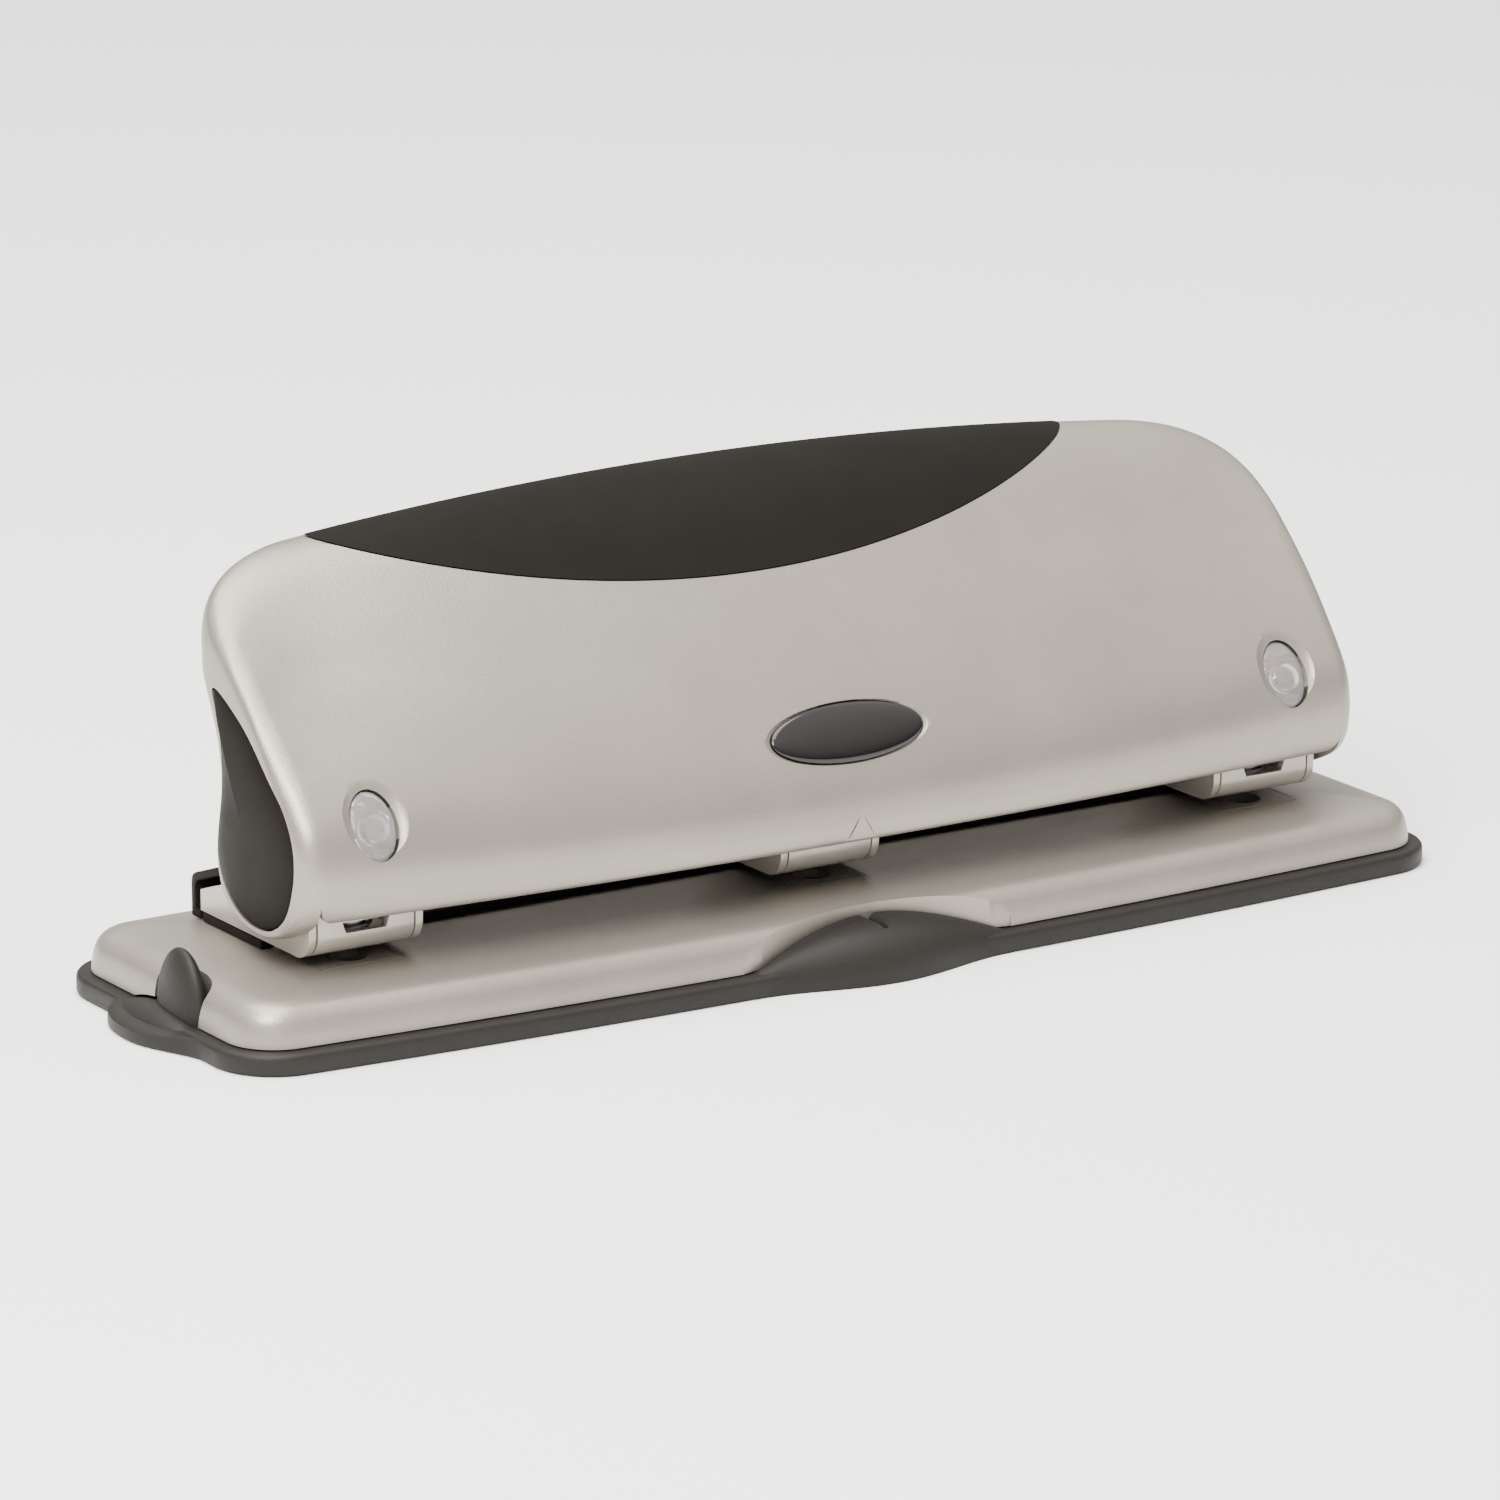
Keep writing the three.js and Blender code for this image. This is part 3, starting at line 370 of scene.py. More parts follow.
def smooth(points, spans, closed=True):
    """Centripetal Catmull-Rom curve with spans steps from each point to the next."""
    p = np.asarray(points, float)
    if not closed:
        p = np.vstack([p, 2 * p[-1] - p[-2], 2 * p[0] - p[1]])
    count = len(p)
    result = []
    for i in range(count if closed else count - 3):
        p0, p1, p2, p3 = p[i - 1], p[i], p[(i + 1) % count], p[(i + 2) % count]
        d0, d1, d2 = (math.sqrt(np.linalg.norm(b - a)) for a, b in ((p0, p1), (p1, p2), (p2, p3)))
        t1 = ((p1 - p0) / d0 - (p2 - p0) / (d0 + d1) + (p2 - p1) / d1) * d1
        t2 = ((p2 - p1) / d1 - (p3 - p1) / (d1 + d2) + (p3 - p2) / d2) * d1
        for k in range(spans):
            t = k / spans
            result.append(p1 + t1 * t + (-3 * p1 + 3 * p2 - 2 * t1 - t2) * t ** 2
                          + (2 * p1 - 2 * p2 + t1 + t2) * t ** 3)
    if not closed:
        result.append(p[-3])
    return np.array(result)


def combine(target, tool, how="DIFFERENCE"):
    """Joins or cuts target with tool and removes tool."""
    change = target.modifiers.new("combine", "BOOLEAN")
    change.operation = how
    change.solver = "MANIFOLD"
    change.object = tool
    settle(target)
    bpy.data.objects.remove(tool, do_unlink=True)
    return target


def settle(item):
    """Applies an object's modifiers."""
    graph = bpy.context.evaluated_depsgraph_get()
    mesh = bpy.data.meshes.new_from_object(item.evaluated_get(graph))
    item.modifiers.clear()
    item.data = mesh
    return item


def cut(target, *tools):
    for tool in tools:
        combine(target, tool)
    return target


def join(target, *tools):
    for tool in tools:
        combine(target, tool, "UNION")
    return target


def soften(item, width, segments=2, angle=35):
    change = item.modifiers.new("edges", "BEVEL")
    change.width = width * MM
    change.segments = segments
    change.limit_method = "ANGLE"
    change.angle_limit = math.radians(angle)
    return settle(item)


def finish_piece(item, slot, body, *nodes, angle=32, look=None):
    """Shades a piece, gives it its finish and ties it to its body and CAD nodes."""
    mesh = item.data
    mesh.shade_smooth()
    mesh.set_sharp_from_angle(angle=math.radians(angle))
    mesh.materials.clear()
    mesh.materials.append(MATERIALS[look or slot])
    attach(item, body)
    if nodes:
        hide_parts(*nodes)
    return item


# ---- Tray and base cover ----


def plan_outline(inset, arc=16, bowed=90):
    """Plan outline of the tray, moved in by inset, bowed along its front."""
    half = TRAY_LENGTH / 2 - inset
    front = TRAY_FRONT + inset
    rear = TRAY_REAR - inset
    radius = max(TRAY_CORNER - inset, 1)
    reach = half - radius
    points = []
    corners = [(reach, front + radius), (reach, rear - radius),
               (-reach, rear - radius), (-reach, front + radius)]
    for k, (x, y) in enumerate(corners):
        for i in range(arc + 1):
            angle = (k - 1 + i / arc) * math.pi / 2
            points.append((x + radius * math.cos(angle), y + radius * math.sin(angle)))
    for i in range(1, bowed):
        x = -reach + 2 * reach * i / bowed
        points.append((x, front - TRAY_BOW * (1 - (x / reach) ** 2)))
    return np.array(points)


def raise_to(outline, z):
    outline = np.asarray(outline, float)
    return np.column_stack([outline, np.full(len(outline), float(z))])


def eye_rear(x):
    wave = np.cos(np.clip(x / EYE_HALF, -1, 1) * math.pi / 2)
    return tray_front_middle + COVER_INSET + (EYE_REAR - COVER_INSET) * wave


def eye():
    loops = []
    for t in np.linspace(-1, 1, 81):
        x = t * EYE_HALF
        rear = float(eye_rear(x))
        swell = math.cos(t * math.pi / 2) ** 2
        bow = TRAY_BOW * (1 - (x / (TRAY_LENGTH / 2 - TRAY_CORNER)) ** 2)
        front = TRAY_FRONT - bow + GAP * (1 - swell) - EYE_FRONT * swell
        height = RIM_HEIGHT - 0.4 + (EYE_HEIGHT - RIM_HEIGHT + 0.4) * math.cos(t * math.pi / 2)
        loop = [(x, rear, 0)]
        for angle in np.linspace(0, math.pi / 2, 25):
            y = rear + (front - rear) * math.sin(angle) ** 0.8
            loop.append((x, y, height * max(math.cos(angle), 0) ** 0.8))
        loops.append(loop)
    return loft("eye", loops)


def lobe():
    """Finger pull at the left end: a lip that slopes out and down from the rim."""
    loops = []
    for t in np.linspace(-1, 1, 61):
        swell = math.sqrt(max(0, 1 - t ** 2.4)) if t > 0 else math.cos(t * math.pi / 2) ** 2
        y = LOBE_Y + (LOBE_REAR if t > 0 else LOBE_FRONT) * t
        edge = -TRAY_LENGTH / 2 + 0.5 - (LOBE_REACH + 0.5) * swell
        inner = -TRAY_LENGTH / 2 + 3
        high = RIM_HEIGHT - 0.1
        fall = 1.2 * swell
        profile = [(inner, 0.05), (edge + 0.6, 0.05), (edge + 0.1, 0.5), (edge, 1.4),
                   (edge + 0.15, high - fall - 0.5), (edge + 0.7, high - fall),
                   (edge + 2.2, high - fall * 0.5), (inner, high)]
        loops.append([(x, y, z) for x, z in profile])
    return loft("lobe", loops)


def ball(name, radii, at, low, grow=0):
    """The part of an ellipsoid above the height low."""
    wide, deep, high = (radius + grow for radius in radii)
    loops = []
    for angle in np.linspace(math.acos((low - at[2]) / high), 0.001, 40):
        ring = circle(0, 0, 1, 96) * math.sin(angle)
        loops.append(np.column_stack([at[0] + ring[:, 0] * wide, at[1] + ring[:, 1] * deep,
                                      np.full(96, at[2] + high * math.cos(angle))]))
    return loft(name, loops)


def mound(low, grow):
    return ball("mound", MOUND_RADII, (MOUND_INSET - TRAY_LENGTH / 2, MOUND_Y, 0), low, grow)


def hinge_rod(name, radius, length):
    return prism(name, circle(HINGE_Z, hinge_x, radius, 40), 1, -length / 2, length / 2)


def chip_tray():
    steps = [(0.9, 0), (0.25, 0.25), (0, 0.8), (0, 3.2), (0.12, 3.75), (0.45, 4.15),
             (1, RIM_HEIGHT), (2, RIM_HEIGHT)]
    tray = loft("chip_tray", [raise_to(plan_outline(i), z) for i, z in steps])
    join(tray, lobe())
    cut(tray, prism("pocket", plan_outline(RIM_WIDTH), 2, TRAY_FLOOR, RIM_HEIGHT + 1))
    fin_at = (FIN_INSET - TRAY_LENGTH / 2, FIN_Y, FIN_CENTRE_Z)
    join(tray, ball("fin", FIN_RADII, fin_at, 1), mound(1, 0), eye())
    cut(tray, prism("pocket", plan_outline(RIM_WIDTH), 2, TRAY_FLOOR, cover_low))
    slit = [(8.2, -0.35), (8.2, 0.35), (9.9, 0.45), (10.6, 0.9), (11.4, 2.2),
            (11.4, -2.2), (10.6, -0.9), (9.9, -0.45)]
    cut(tray, prism("slit", slit, 1, tray_front_middle + 0.5, tray_front_middle + 20))
    for y in (-TONGUE_Y, TONGUE_Y):
        wide = TONGUE_WIDTH / 2 + 2 * RUN
        cut(tray, block("notch", (hinge_x - 6, hinge_x + TONGUE_R + RUN), (y - wide, y + wide),
                        (HINGE_Z - TONGUE_R - RUN, RIM_HEIGHT + 1)))
    cut(tray, hinge_rod("bore", HINGE_PIN_R + RUN, HINGE_PIN_LENGTH + 2 * RUN))
    return finish_piece(tray, "soft_plastic", "tray", "chip_tray")


def cover_body(name, inset, low, drop):
    """The cover's stepped rise, smoothed between the driving steps."""
    steps = smooth(COVER_STEPS, 5, closed=False)
    loops = []
    for i, (height, step) in enumerate(steps):
        z = low if i == 0 else cover_low + height - drop
        loops.append(raise_to(plan_outline(COVER_INSET + inset + step), z))
    return loft(name, loops)


def base_cover():
    cover = cover_body("base_cover", 0, cover_low, 0)
    cut(cover, cover_body("hollow", COVER_WALL, 0, COVER_TOP_WALL))
    xs = np.linspace(EYE_HALF + 1, -EYE_HALF - 1, 65)
    recess = [(x, float(eye_rear(x)) + 2 * GAP) for x in xs]
    recess += [(-EYE_HALF - 1, tray_front_middle - 10), (EYE_HALF + 1, tray_front_middle - 10)]
    cut(cover, prism("recess", recess, 2, 0, 40))
    ring = circle(0, 0, 1, 72)
    scallop = np.column_stack([FIN_INSET - TRAY_LENGTH / 2 + ring[:, 0] * (FIN_RADII[0] + 3 * GAP),
                               FIN_Y + ring[:, 1] * (FIN_RADII[1] + 3 * GAP)])
    cut(cover, prism("scallop", scallop, 2, -30, 30), mound(-4, 2 * GAP))
    for y in (-TONGUE_Y, TONGUE_Y):
        side = TONGUE_WIDTH / 2
        tongue = prism("tongue", circle(HINGE_Z, hinge_x, TONGUE_R, 40), 1, y - side, y + side)
        neck = block("neck", (hinge_x - TONGUE_R, hinge_x - HINGE_PIN_R), (y - side, y + side),
                     (HINGE_Z, cover_low + 2))
        join(cover, join(tongue, neck))
    cut(cover, hinge_rod("bore", HINGE_PIN_R + RUN, HINGE_PIN_LENGTH + 2))
    for _, x, _, _ in HEADS:
        wide, deep, thick = DIE_SIZE
        cut(cover, block("die", (x - wide / 2 - GAP, x + wide / 2 + GAP),
                         (PUNCH_Y - deep / 2 - GAP, PUNCH_Y + deep / 2 + GAP),
                         (cover_top - thick - GAP, cover_top + 1)))
        cut(cover, prism("chips", circle(x, PUNCH_Y, PIN_R + 1, 48), 2, 0, 30))
        for side in (-1, 1):
            cut(cover, prism("screw", circle(x + side * SCREW_OFFSET, SCREW_Y, SCREW_R + GAP, 32), 2, 0, 30))
    return finish_piece(cover, "silver_paint", "base", "base_cover")


# ---- Heads ----


def head_outline():
    points = []
    for angle in np.linspace(-math.pi / 2, -math.pi, 15):
        points.append((HEAD_FRONT + HEAD_BEND + HEAD_BEND * math.cos(angle),
                       slot_top + HEAD_BEND + HEAD_BEND * math.sin(angle)))
    points += [(HEAD_FRONT, HEAD_WALL_TOP), (-5, HEAD_WALL_TOP + 1)]
    for angle in np.linspace(0.75 * math.pi, 0.1 * math.pi, 24):
        points.append((PIVOT_Y + 7.5 * math.cos(angle), PIVOT_Z + 7.5 * math.sin(angle)))
    points += [(12.8, 27.6), (14.2, 26), (16, 24.6), (18.2, 23.6), (20.5, 22.9),
               (HEAD_REAR, 21), (HEAD_REAR, slot_top)]
    return points


def head_frame(name, x, width, side):
    half = width / 2 + HEAD_METAL
    head = prism("head_frame_" + name, head_outline(), 0, x - half, x + half)
    inside = (x - width / 2, x + width / 2)
    bend_r = HEAD_BEND - HEAD_METAL
    cut(head, block("hollow", inside, (HEAD_FRONT + HEAD_METAL, HEAD_REAR + 1), (plate_top + bend_r, 60)),
        block("hollow", inside, (HEAD_FRONT + HEAD_BEND, HEAD_REAR + 1), (plate_top, 60)),
        prism("hollow", circle(HEAD_FRONT + HEAD_BEND, plate_top + bend_r, bend_r), 0, *inside),
        prism("guide", circle(x, PUNCH_Y, PIN_R + RUN), 2, 0, plate_top + HEAD_BEND),
        prism("pivot", circle(PIVOT_Y, PIVOT_Z, SHAFT_R + RUN), 0, x - 20, x + 20))
    for screw in (-1, 1):
        hole = circle(x + screw * SCREW_OFFSET, SCREW_Y, SCREW_R + GAP, 32)
        cut(head, prism("screw", hole, 2, 0, plate_top + 1))
    # Seams between the folded cheeks and the front wall
    for edge in (-1, 1):
        at = x + edge * width / 2
        seam = prism("seam", [(HEAD_FRONT - 1, slot_top + 1.6), (HEAD_FRONT + 4.5, slot_top - 1),
                              (HEAD_FRONT + 4.5, slot_top + 0.5), (HEAD_FRONT + 2.2, slot_top + 2.2),
                              (HEAD_FRONT + 1, slot_top + 5), (HEAD_FRONT + 1, 60), (HEAD_FRONT - 1, 60)],
                     0, at - 0.2, at + 0.2)
        cut(head, seam)
    if side:
        wide, high, low = HEAD_SLOT
        slot = prism("slot", [(low, x - wide / 2 + 0.5), (low + high, x - wide / 2 - 0.3),
                              (low + high, x + wide / 2 + 0.3), (low, x + wide / 2 - 0.5)], 1,
                     HEAD_FRONT - 1, HEAD_FRONT + HEAD_METAL + 1)
        toe = x + side * LEVER_OFFSET
        cut(head, slot, block("toe", (toe - LEVER_THICK / 2 - 0.6, toe + LEVER_THICK / 2 + 0.6),
                              (STOP_Y - 5, STOP_Y + 5), (slot_top - 1, plate_top + 1)))
    soften(head, 0.25, 2, 40)
    # The head frames take the lighter copy of the silver paint, painted light against the handle's shade
    return finish_piece(head, "silver_paint", "base", "head_frame_" + name, look="painted_light_silver")


def punch_pin(name, x):
    foot = slot_top + PIN_FOOT
    groove = CLIP_Z - RUN
    above = groove + CLIP_THICK + 0.6
    pin = lathe("punch_pin_" + name, [
        (0, foot + 1.2), (PIN_R - 0.5, foot), (PIN_R, foot), (PIN_R, groove), (PIN_R - 0.5, groove),
        (PIN_R - 0.5, above), (PIN_R, above), (PIN_R, PIN_TOP - 4), (PIN_R - 0.5, PIN_TOP - 2.6),
        (PIN_R - 1.5, PIN_TOP - 1), (PIN_R - 2.4, PIN_TOP - 0.2), (0, PIN_TOP)], x, PUNCH_Y)
    finish_piece(pin, "steel", "pin_" + name, "punch_pin_" + name)


def return_spring(name, x):
    low = plate_top + GAP + WIRE_R
    high = CLIP_Z - GAP - WIRE_R
    steps = SPRING_TURNS * 36
    loops = []
    for k in range(steps + 1):
        angle = k / steps * SPRING_TURNS * 2 * math.pi
        out = np.array([math.cos(angle), math.sin(angle), 0])
        centre = np.array([x, PUNCH_Y, low + (high - low) * k / steps]) + out * SPRING_R
        ring = circle(0, 0, WIRE_R, 12)
        loops.append(centre + ring[:, :1] * out + ring[:, 1:] * AXES[2])
    spring = loft("return_spring_" + name, loops)
    finish_piece(spring, "spring_steel", "base", "return_spring_" + name)
    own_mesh(spring)


def frame_screw(name, x):
    head_low = cover_top - COVER_TOP_WALL - GAP - 2.2
    screw = lathe(name, [
        (0, head_low), (SCREW_R + 1.3, head_low), (SCREW_R + 1.6, head_low + 0.3),
        (SCREW_R + 1.6, head_low + 2.2),
        (SCREW_R, head_low + 2.2), (SCREW_R, plate_top + 1.6), (SCREW_R - 0.5, plate_top + 2.2),
        (0, plate_top + 2.2)], x, SCREW_Y, 48)
    for turn in (0, math.pi / 2):
        bar = block("cross", (-1.6, 1.6), (-0.35, 0.35), (head_low - 1, head_low + 1))
        bar.data.transform(Matrix.Translation((x * MM, SCREW_Y * MM, 0)) @ Matrix.Rotation(turn, 4, "Z"))
        cut(screw, bar)
    finish_piece(screw, "zinc", "base", name)


PEG_SHIFT = 2.4
PEG_DROP = 0.4
PEG_R = 2.2
PEG_REACH = 2.5


def indicator_lever(name, x, side):
    at = x + side * LEVER_OFFSET
    from_x = at - LEVER_THICK / 2
    to_x = at + LEVER_THICK / 2
    flag_x = side * WINDOW_X
    half = FLAG_HALF_THICK
    lever = prism("indicator_lever_" + name, circle(PIVOT_Y, PIVOT_Z, SHAFT_R + 2.2), 0, from_x, to_x)
    join(lever,
         prism("toe", [(STOP_Y - 2.6, cover_top + 0.8), (STOP_Y - 0.6, cover_top + 0.8),
                       (PIVOT_Y + 2.6, PIVOT_Z), (PIVOT_Y - 3, PIVOT_Z)], 0, from_x + 0.01, to_x - 0.01),
         prism("arm", [(PIVOT_Y, PIVOT_Z - 3), (PIVOT_Y + 2, PIVOT_Z + 3.5), (FLAG_Y + 4, FLAG_Z + 1.2),
                       (FLAG_Y - half, FLAG_Z + 1.2), (FLAG_Y - half, FLAG_Z - 1.2)], 0,
               from_x + 0.02, to_x - 0.02),
         block("link", (min(flag_x, at) - 0.5, max(flag_x, at) + 0.5), (FLAG_Y - half + 0.01, FLAG_Y + half),
               (FLAG_Z - 1.2, FLAG_Z + 1.2)),
         prism("flag", circle(FLAG_Z, flag_x, FLAG_R), 1, FLAG_Y - half, FLAG_Y + half - 0.01),
         prism("peg", circle(FLAG_Z - PEG_DROP, flag_x + PEG_SHIFT, PEG_R), 1, FLAG_Y - PEG_REACH,
               FLAG_Y + half - 0.02))
    cut(lever, prism("bore", circle(PIVOT_Y, PIVOT_Z, SHAFT_R + RUN), 0, from_x - 1, to_x + 1))
    finish_piece(lever, "red_plastic", "indicator_" + name, "indicator_lever_" + name)


def rear_cover():
    low = cover_top + GAP
    face = HEAD_REAR + REAR_COVER_DEPTH
    outline = [(HEAD_REAR + GAP, low), (face - 0.5, low), (face - 0.15, low + 0.15), (face, low + 0.5),
               (face, 21.8), (face - 0.25, 22.8), (face - 0.8, 23.5), (face - 1.6, 23.95),
               (15.4, 28.4), (14.8, 26.8),
               (face - 2.6, 22.4), (face - REAR_WALL, 21.4), (face - REAR_WALL, low + REAR_WALL),
               (HEAD_REAR + GAP, low + REAR_WALL)]
    cover = prism("rear_cover", outline, 0, -heads_half, heads_half)
    soften(cover, 0.3, 2, 50)
    finish_piece(cover, "black_plastic", "base", "rear_cover")


# ---- Handle ----

FINE_SPANS = 5
DISH = (6.9, 9.8)
MARK_Z = 29
open_from = 2 * len(MIDDLE_OUTLINE) - 2


def round_off(t, power):
    return 1 - max(0, 1 - t ** power) ** (1 / power)


def handle_section(x, inset, open_below=False):
    """Section of the handle at x, moved in by inset; an open one runs out of the bottom."""
    far = abs(x)
    beyond = max(0, far - SHOULDER_START)
    past = beyond / (HANDLE_HALF - SHOULDER_START)
    side = min(far / SHOULDER_START, 1) ** 2 + 2 * beyond * (1 - past / 2) / SHOULDER_START
    middle, near, end = (np.array(o, float) for o in (MIDDLE_OUTLINE, SIDE_OUTLINE, END_OUTLINE))
    outline = middle + (near - middle) * side
    fall = np.full((len(outline), 1), round_off(past, REAR_ROUND))
    fall[:RIDGE_POINT] = round_off(past, FRONT_ROUND)
    fall[RIDGE_POINT] = (round_off(past, FRONT_ROUND) + round_off(past, REAR_ROUND)) / 2
    outline = outline + (end - outline) * fall
    foot = np.array([(y, 28.5 if far < HANDLE_HALF - END_WALL else z) for y, z in END_FOOT])
    dense = smooth(np.vstack([outline, foot]), 2)
    edge = max(0, far - (HANDLE_HALF - END_FILLET))
    fillet = END_FILLET - math.sqrt(max(0, END_FILLET ** 2 - edge ** 2))
    along = np.roll(dense, -1, 0) - np.roll(dense, 1, 0)
    along /= np.linalg.norm(along, axis=1)[:, None]
    inward = np.column_stack([along[:, 1], -along[:, 0]])
    back = np.clip((dense[:, 0] + 8) / 20, 0, 1)
    rear = 1 - 0.55 * back * back * (3 - 2 * back)
    high = np.clip((dense[:, 1] - 45) / 30, 0, 1)
    share = rear * (1 - 0.6 * high) * np.clip((dense[:, 1] - 20) / 12, 0.2, 1)
    moved = dense + inward * (inset + fillet * share)[:, None]
    if open_below:
        moved[open_from + 1:, 1] = 5
        return np.column_stack([np.full(len(moved), x), moved])
    fine = smooth(moved, FINE_SPANS)
    return np.column_stack([np.full(len(fine), x), fine])


def stations(half):
    """X places for the sections: close together over the fillets and at the end walls."""
    foot = HANDLE_HALF - END_WALL
    places = list(np.arange(0, SHOULDER_START, 1.25))
    places += list(np.arange(SHOULDER_START, HANDLE_HALF - END_FILLET, 0.75))
    turn = np.sin(np.linspace(0, 1, 15)[:-1] * math.pi / 2)
    places += list(HANDLE_HALF - END_FILLET + END_FILLET * turn)
    places = [p for p in places if p < half - 0.15 and abs(p - foot) > 0.2]
    if half > foot:
        places += [foot - 0.05, foot]
    places.append(half)
    places = sorted(set(places))
    return [-p for p in places[:0:-1]] + places


def handle_body(name, inset, half, open_below=False):
    return loft(name, [handle_section(x, inset, open_below) for x in stations(half)])


def front_frame(x, z):
    """Matrix of the handle's front face at x and height z: right, up the slope, outward."""
    section = handle_section(x, 0)
    at = next(i for i in range(len(section) - 1) if section[i][2] <= z < section[i + 1][2])
    low, high = Vector(section[at]), Vector(section[at + 1])
    spot = low.lerp(high, (z - low.z) / (high.z - low.z))
    wide_low, wide_high = Vector(section[at - 2]), Vector(section[at + 3])
    up = Vector((0, wide_high.y - wide_low.y, wide_high.z - wide_low.z)).normalized()
    out = Vector((1, 0, 0)).cross(up)
    return Matrix(((1, up.x, out.x, spot.x * MM), (0, up.y, out.y, spot.y * MM),
                   (0, up.z, out.z, spot.z * MM), (0, 0, 0, 1)))


def placed(item, matrix):
    item.data.transform(matrix)
    return item


def oval(name, a, b, low, high, matrix, segments=96):
    ring = circle(0, 0, 1, segments) * (a, b)
    return placed(prism(name, ring, 2, low, high), matrix)


def domed(name, a, b, low, high, matrix, segments=96):
    """An oval plate with a rounded top, from a flat underside at low."""
    loops = [raise_to(circle(0, 0, 1, segments) * (a, b), low)]
    for angle in np.linspace(0, math.pi / 2, 17):
        share = math.cos(angle)
        grow = max(share, 0.001)
        loops.append(raise_to(circle(0, 0, 1, segments) * (a - (1 - grow) * a, b - (1 - grow) * b),
                              low + (high - low) * (0.25 + 0.75 * math.sin(angle))))
    return placed(loft(name, loops), matrix)


def grip_edge(off):
    return GRIP_LOW + GRIP_RISE * (off / GRIP_HALF) ** 2


def grip_region(name, grow):
    half = GRIP_HALF + grow
    outline = [(140, GRIP_MIDDLE - half), (140, GRIP_MIDDLE + half)]
    outline += [(grip_edge(off) - grow, GRIP_MIDDLE + off) for off in np.linspace(half, -half, 121)]
    return prism(name, outline, 1, -60, 60)


def inlay_outline(grow):
    dense = smooth(INLAY_OUTLINE, 8)
    along = np.roll(dense, -1, 0) - np.roll(dense, 1, 0)
    along /= np.linalg.norm(along, axis=1)[:, None]
    return dense + np.column_stack([along[:, 1], -along[:, 0]]) * grow


def dish(matrix, size, lift, steps):
    """Tool that sinks a soft-edged oval hollow into the front; steps are (height, share of size)."""
    loops = [raise_to(circle(0, 0, 1, 96) * size * share + (0, lift), height) for height, share in steps]
    return placed(loft("dish", loops), matrix)


def mark(matrix):
    """Tools for the fine outline of the centre mark at the lip."""
    corners = [(-3.8, -2.3), (2.6, -2.3), (-0.7, 3.2)]
    tools = []
    for k in range(3):
        a, b = np.array(corners[k], float), np.array(corners[(k + 1) % 3], float)
        along = (b - a) / np.linalg.norm(b - a)
        side = np.array([-along[1], along[0]]) * 0.17
        over = along * 0.1
        strip = [a - side - over, b - side + over, b + side + over, a + side - over]
        tools.append(placed(prism("mark", strip, 2, -0.3, 2), matrix))
    return tools


def lip_corner(x, side):
    """Tool that rounds the front lip up to an end wall's inner face at x."""
    centre = x - side * LIP_CORNER
    outline = [(0, x), (0, centre)]
    for angle in np.linspace(0, math.pi / 2, 25):
        z = LIP_Z + LIP_CORNER * (1 - math.cos(angle))
        outline.append((z, centre + side * LIP_CORNER * math.sin(angle)))
    return prism("lip", outline, 1, -60, LIP_CORNER_Y)


def handle_shell():
    shell = handle_body("handle_shell", 0, HANDLE_HALF)
    cut(shell, handle_body("hollow", HANDLE_WALL, HANDLE_HALF - END_WALL, True))
    for x in (-PRESS_SCREW_X, PRESS_SCREW_X):
        boss = prism("boss", circle(x, PUNCH_Y, 4.2, 48), 2, PRESS_HIGH + GAP, 90)
        combine(boss, handle_body("inside", HANDLE_WALL / 2, HANDLE_HALF - END_WALL / 2), "INTERSECT")
        join(shell, boss)
        cut(shell, prism("hole", circle(x, PUNCH_Y, 1.7, 36), 2, 30, PRESS_HIGH + 9))
    inner = HANDLE_HALF - END_WALL
    cut(shell, block("rear", (-inner, inner), (STOP_Y, 60), (0, REAR_EDGE_Z)),
        prism("pivot", circle(PIVOT_Y, PIVOT_Z, SHAFT_R + RUN), 0, -200, 200),
        prism("inlay", inlay_outline(GAP), 0, end_face, 200),
        prism("inlay", inlay_outline(GAP), 0, -200, -end_face))
    for side in (-1, 1):
        matrix = front_frame(side * WINDOW_X, WINDOW_Z)
        hollow = ((4, 1.25), (1.2, 1.14), (0.55, 1.08), (0.15, 1.03),
                  (-0.35, 0.97), (-0.9, 0.85), (-1.3, 0.7))
        cut(shell, dish(matrix, DISH, DISH_LIFT, hollow), lip_corner(side * inner, side),
            oval("window", LENS[0] + GAP, LENS[1] + GAP, -8, 6, matrix))
    badge_at = front_frame(0, BADGE_Z)
    rim = ((2, 1.2), (0.5, 1.12), (0.12, 1.09), (-0.12, 1.065), (-0.4, 1.03), (-0.5, 0.98))
    cut(shell, dish(badge_at, BADGE, 0, rim),
        oval("badge", BADGE[0] + GAP, BADGE[1] + GAP, -0.9, 6, badge_at))
    cut(shell, *mark(front_frame(0, MARK_Z)))
    region = grip_region("recess", GAP)
    cut(region, handle_body("skin", GRIP_THICK + GAP, HANDLE_HALF - GRIP_THICK - GAP))
    cut(shell, region)
    finish_piece(shell, "silver_paint", "handle", "handle_shell")
    # Near-black finish painted as shade on faces that look back or down, darkening the space under the
    # handle: the inside, and wrongly also the outer rear
    shell.data.materials.append(MATERIALS["painted_shade_inside"])
    for face in shell.data.polygons:
        y, z = face.center.y / MM, face.center.z / MM
        if (face.normal.y > 0.15 and y < -6 and z < 80) or (face.normal.z < -0.3 and z > 30):
            face.material_index = len(shell.data.materials) - 1


def handle_grip():
    grip = handle_body("handle_grip", -GRIP_PROUD, HANDLE_HALF)
    combine(grip, grip_region("region", 0), "INTERSECT")
    cut(grip, handle_body("skin", GRIP_THICK, HANDLE_HALF - GRIP_THICK))
    finish_piece(grip, "soft_plastic", "handle", "handle_grip", look="grip_rubber")


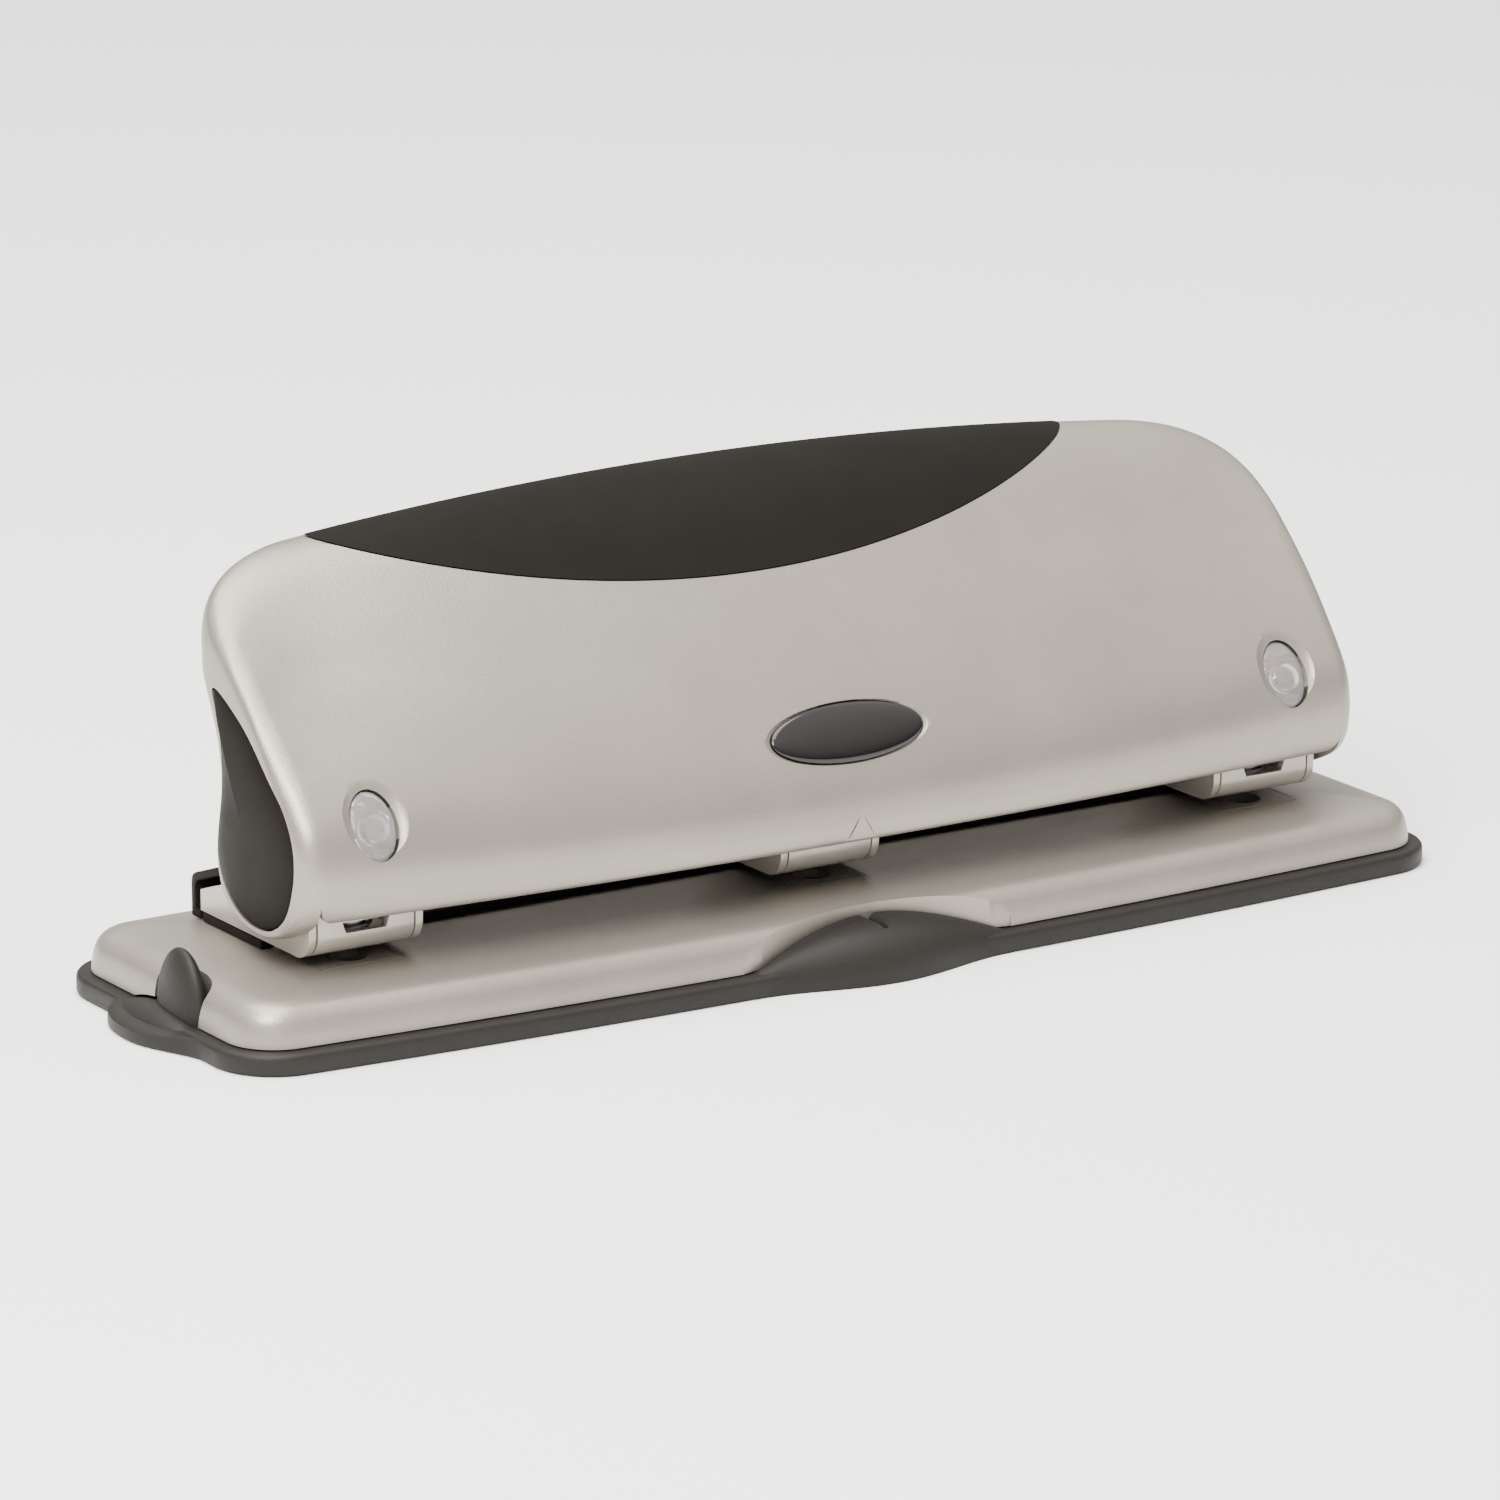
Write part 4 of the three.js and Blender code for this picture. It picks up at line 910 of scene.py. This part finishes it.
def end_inlay(name, side):
    outline = inlay_outline(0)
    centre = np.array([-5.0, 40.0])
    loops = [(end_face + GAP, 1.0), (HANDLE_HALF - 0.5, 1.0)]
    for angle in np.linspace(0, math.pi / 2, 25):
        loops.append((HANDLE_HALF - 0.5 + (INLAY_DOME + 0.5) * math.sin(angle), max(math.cos(angle), 0.002)))
    rings = []
    for x, share in loops:
        flat = centre + (outline - centre) * share
        rings.append(np.column_stack([np.full(len(flat), side * x), flat]))
    finish_piece(loft("end_inlay_" + name, rings), "black_plastic", "handle", "end_inlay_" + name, angle=60)


def name_badge():
    badge = domed("name_badge", BADGE[0], BADGE[1], -0.6, 1.5, front_frame(0, BADGE_Z))
    finish_piece(badge, "gloss_black", "handle", "name_badge")


def window_lens(name, side):
    """Clear insert with a raised rim and an inner tube."""
    matrix = front_frame(side * WINDOW_X, WINDOW_Z)
    lens = domed("window_lens_" + name, LENS[0], LENS[1], -2.6, -0.5, matrix)
    cut(lens, oval("face", LENS[0] - 0.6, LENS[1] - 0.6, -1.1, 3, matrix))
    drop = matrix @ Matrix.Translation((0.3 * MM, -0.7 * MM, 0))
    join(lens, oval("tube", 3.3, 3.3, -2.9, -0.9, drop))
    cut(lens, oval("bore", 2.75, 2.75, -6, -1.2, drop))
    finish_piece(lens, "clear_plastic", "handle", "window_lens_" + name)


# ---- Assembly ----

chip_tray()
rod = hinge_rod("tray_hinge_pin", HINGE_PIN_R, HINGE_PIN_LENGTH)
finish_piece(soften(rod, 0.2), "steel", "tray", "tray_hinge_pin")
base_cover()
for head_name, head_x, head_width, head_side in HEADS:
    head_frame(head_name, head_x, head_width, head_side)
    punch_pin(head_name, head_x)
    ring_r = PIN_R + 1.6
    clip = lathe("pin_clip_" + head_name, [
        (PIN_R - 0.3, CLIP_Z), (ring_r, CLIP_Z), (ring_r, CLIP_Z + CLIP_THICK + 0.2),
        (PIN_R - 0.3, CLIP_Z + CLIP_THICK + 0.2), (PIN_R - 0.3, CLIP_Z)], head_x, PUNCH_Y)
    finish_piece(clip, "steel", "pin_" + head_name, "pin_clip_" + head_name)
    return_spring(head_name, head_x)
    frame_screw(f"frame_screw_{head_name}_a", head_x - SCREW_OFFSET)
    frame_screw(f"frame_screw_{head_name}_b", head_x + SCREW_OFFSET)
    if head_side:
        indicator_lever(head_name, head_x, head_side)
rear_cover()
shaft = prism("pivot_shaft", circle(PIVOT_Y, PIVOT_Z, SHAFT_R), 0, -end_face + GAP, end_face - GAP)
finish_piece(soften(shaft, 0.3), "steel", "base", "pivot_shaft")
for end_name, end_side in (("left", -1), ("right", 1)):
    start = -heads_half - GAP - CLIP_THICK if end_side < 0 else heads_half + GAP
    disc = circle(PIVOT_Y, PIVOT_Z, SHAFT_R + 2.4)
    washer = prism("shaft_clip_" + end_name, disc, 0, start, start + CLIP_THICK)
    cut(washer, prism("bore", circle(PIVOT_Y, PIVOT_Z, SHAFT_R + RUN), 0, start - 1, start + CLIP_THICK + 1))
    finish_piece(soften(washer, 0.15), "steel", "base", "shaft_clip_" + end_name)
    end_inlay(end_name, end_side)
    window_lens(end_name, end_side)
    low_z = PRESS_LOW - GAP
    screw = lathe("press_bar_screw_" + end_name, [
        (0, low_z - 2), (2.6, low_z - 2), (3, low_z - 1.6), (3, low_z), (1.5, low_z), (1.5, PRESS_HIGH + 7),
        (0, PRESS_HIGH + 7.5)], end_side * PRESS_SCREW_X, PUNCH_Y)
    finish_piece(screw, "zinc", "handle", "press_bar_screw_" + end_name)
handle_shell()
handle_grip()
name_badge()

# The paper stop bar gets black plastic so the gap under the handle reads dark; its colour stands in partly
# for the handle's shade
kept = {"paper_stop_bar": "black_plastic", "press_bar": "zinc"}
for part in ("left", "middle", "right"):
    kept["guide_bridge_" + part] = "zinc"
    kept["die_plate_" + part] = "silver_paint"
for node_name, node_slot in kept.items():
    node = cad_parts[node_name]
    edges = node.modifiers.new("edges", "BEVEL")
    edges.width = 0.2 * MM
    edges.segments = 2
    edges.limit_method = "ANGLE"
    node.data.materials.clear()
    node.data.materials.append(MATERIALS[node_slot])

# ---- Stage ----


def area(name, at, aim, size, power, color=(1, 1, 1)):
    data = bpy.data.lights.new(name, "AREA")
    data.shape = "RECTANGLE"
    data.size = size[0]
    data.size_y = size[1]
    data.energy = power
    data.color = color
    lamp = bpy.data.objects.new(name, data)
    bpy.context.scene.collection.objects.link(lamp)
    lamp.location = at
    lamp.rotation_euler = (Vector(aim) - Vector(at)).to_track_quat("-Z", "Y").to_euler()


SKY = (0.05, 1.95)


def stage():
    floor = new_object("floor", [(-6000, -6000, -0.05), (6000, -6000, -0.05), (6000, 6000, -0.05),
                                 (-6000, 6000, -0.05)], [(0, 1, 2, 3)])
    paper = bpy.data.materials.new("floor")
    paper.use_nodes = True
    shader = paper.node_tree.nodes["Principled BSDF"]
    shader.inputs["Base Color"].default_value = (0.9, 0.9, 0.9, 1)
    shader.inputs["Roughness"].default_value = 0.9
    floor.data.materials.append(paper)
    world = bpy.data.worlds.new("studio")
    bpy.context.scene.world = world
    world.use_nodes = True
    nodes = world.node_tree.nodes
    links = world.node_tree.links
    split = nodes.new("ShaderNodeSeparateXYZ")
    levels = nodes.new("ShaderNodeMapRange")
    links.new(nodes.new("ShaderNodeTexCoord").outputs["Generated"], split.inputs["Vector"])
    links.new(split.outputs["Z"], levels.inputs["Value"])
    levels.inputs["From Min"].default_value = 0.0
    levels.inputs["From Max"].default_value = 0.8
    levels.inputs["To Min"].default_value = SKY[0]
    levels.inputs["To Max"].default_value = SKY[1]
    links.new(levels.outputs["Result"], nodes["Background"].inputs["Strength"])
    nodes["Background"].inputs["Color"].default_value = (1, 0.99, 0.97, 1)
    area("key", (-0.75, -0.5, 0.85), (0, 0, 0.04), (0.6, 0.6), 23, (1, 0.98, 0.95))
    area("top", (-0.2, 0.1, 1.6), (0, 0, 0.04), (1.6, 1.2), 50, (1, 0.98, 0.95))


stage()
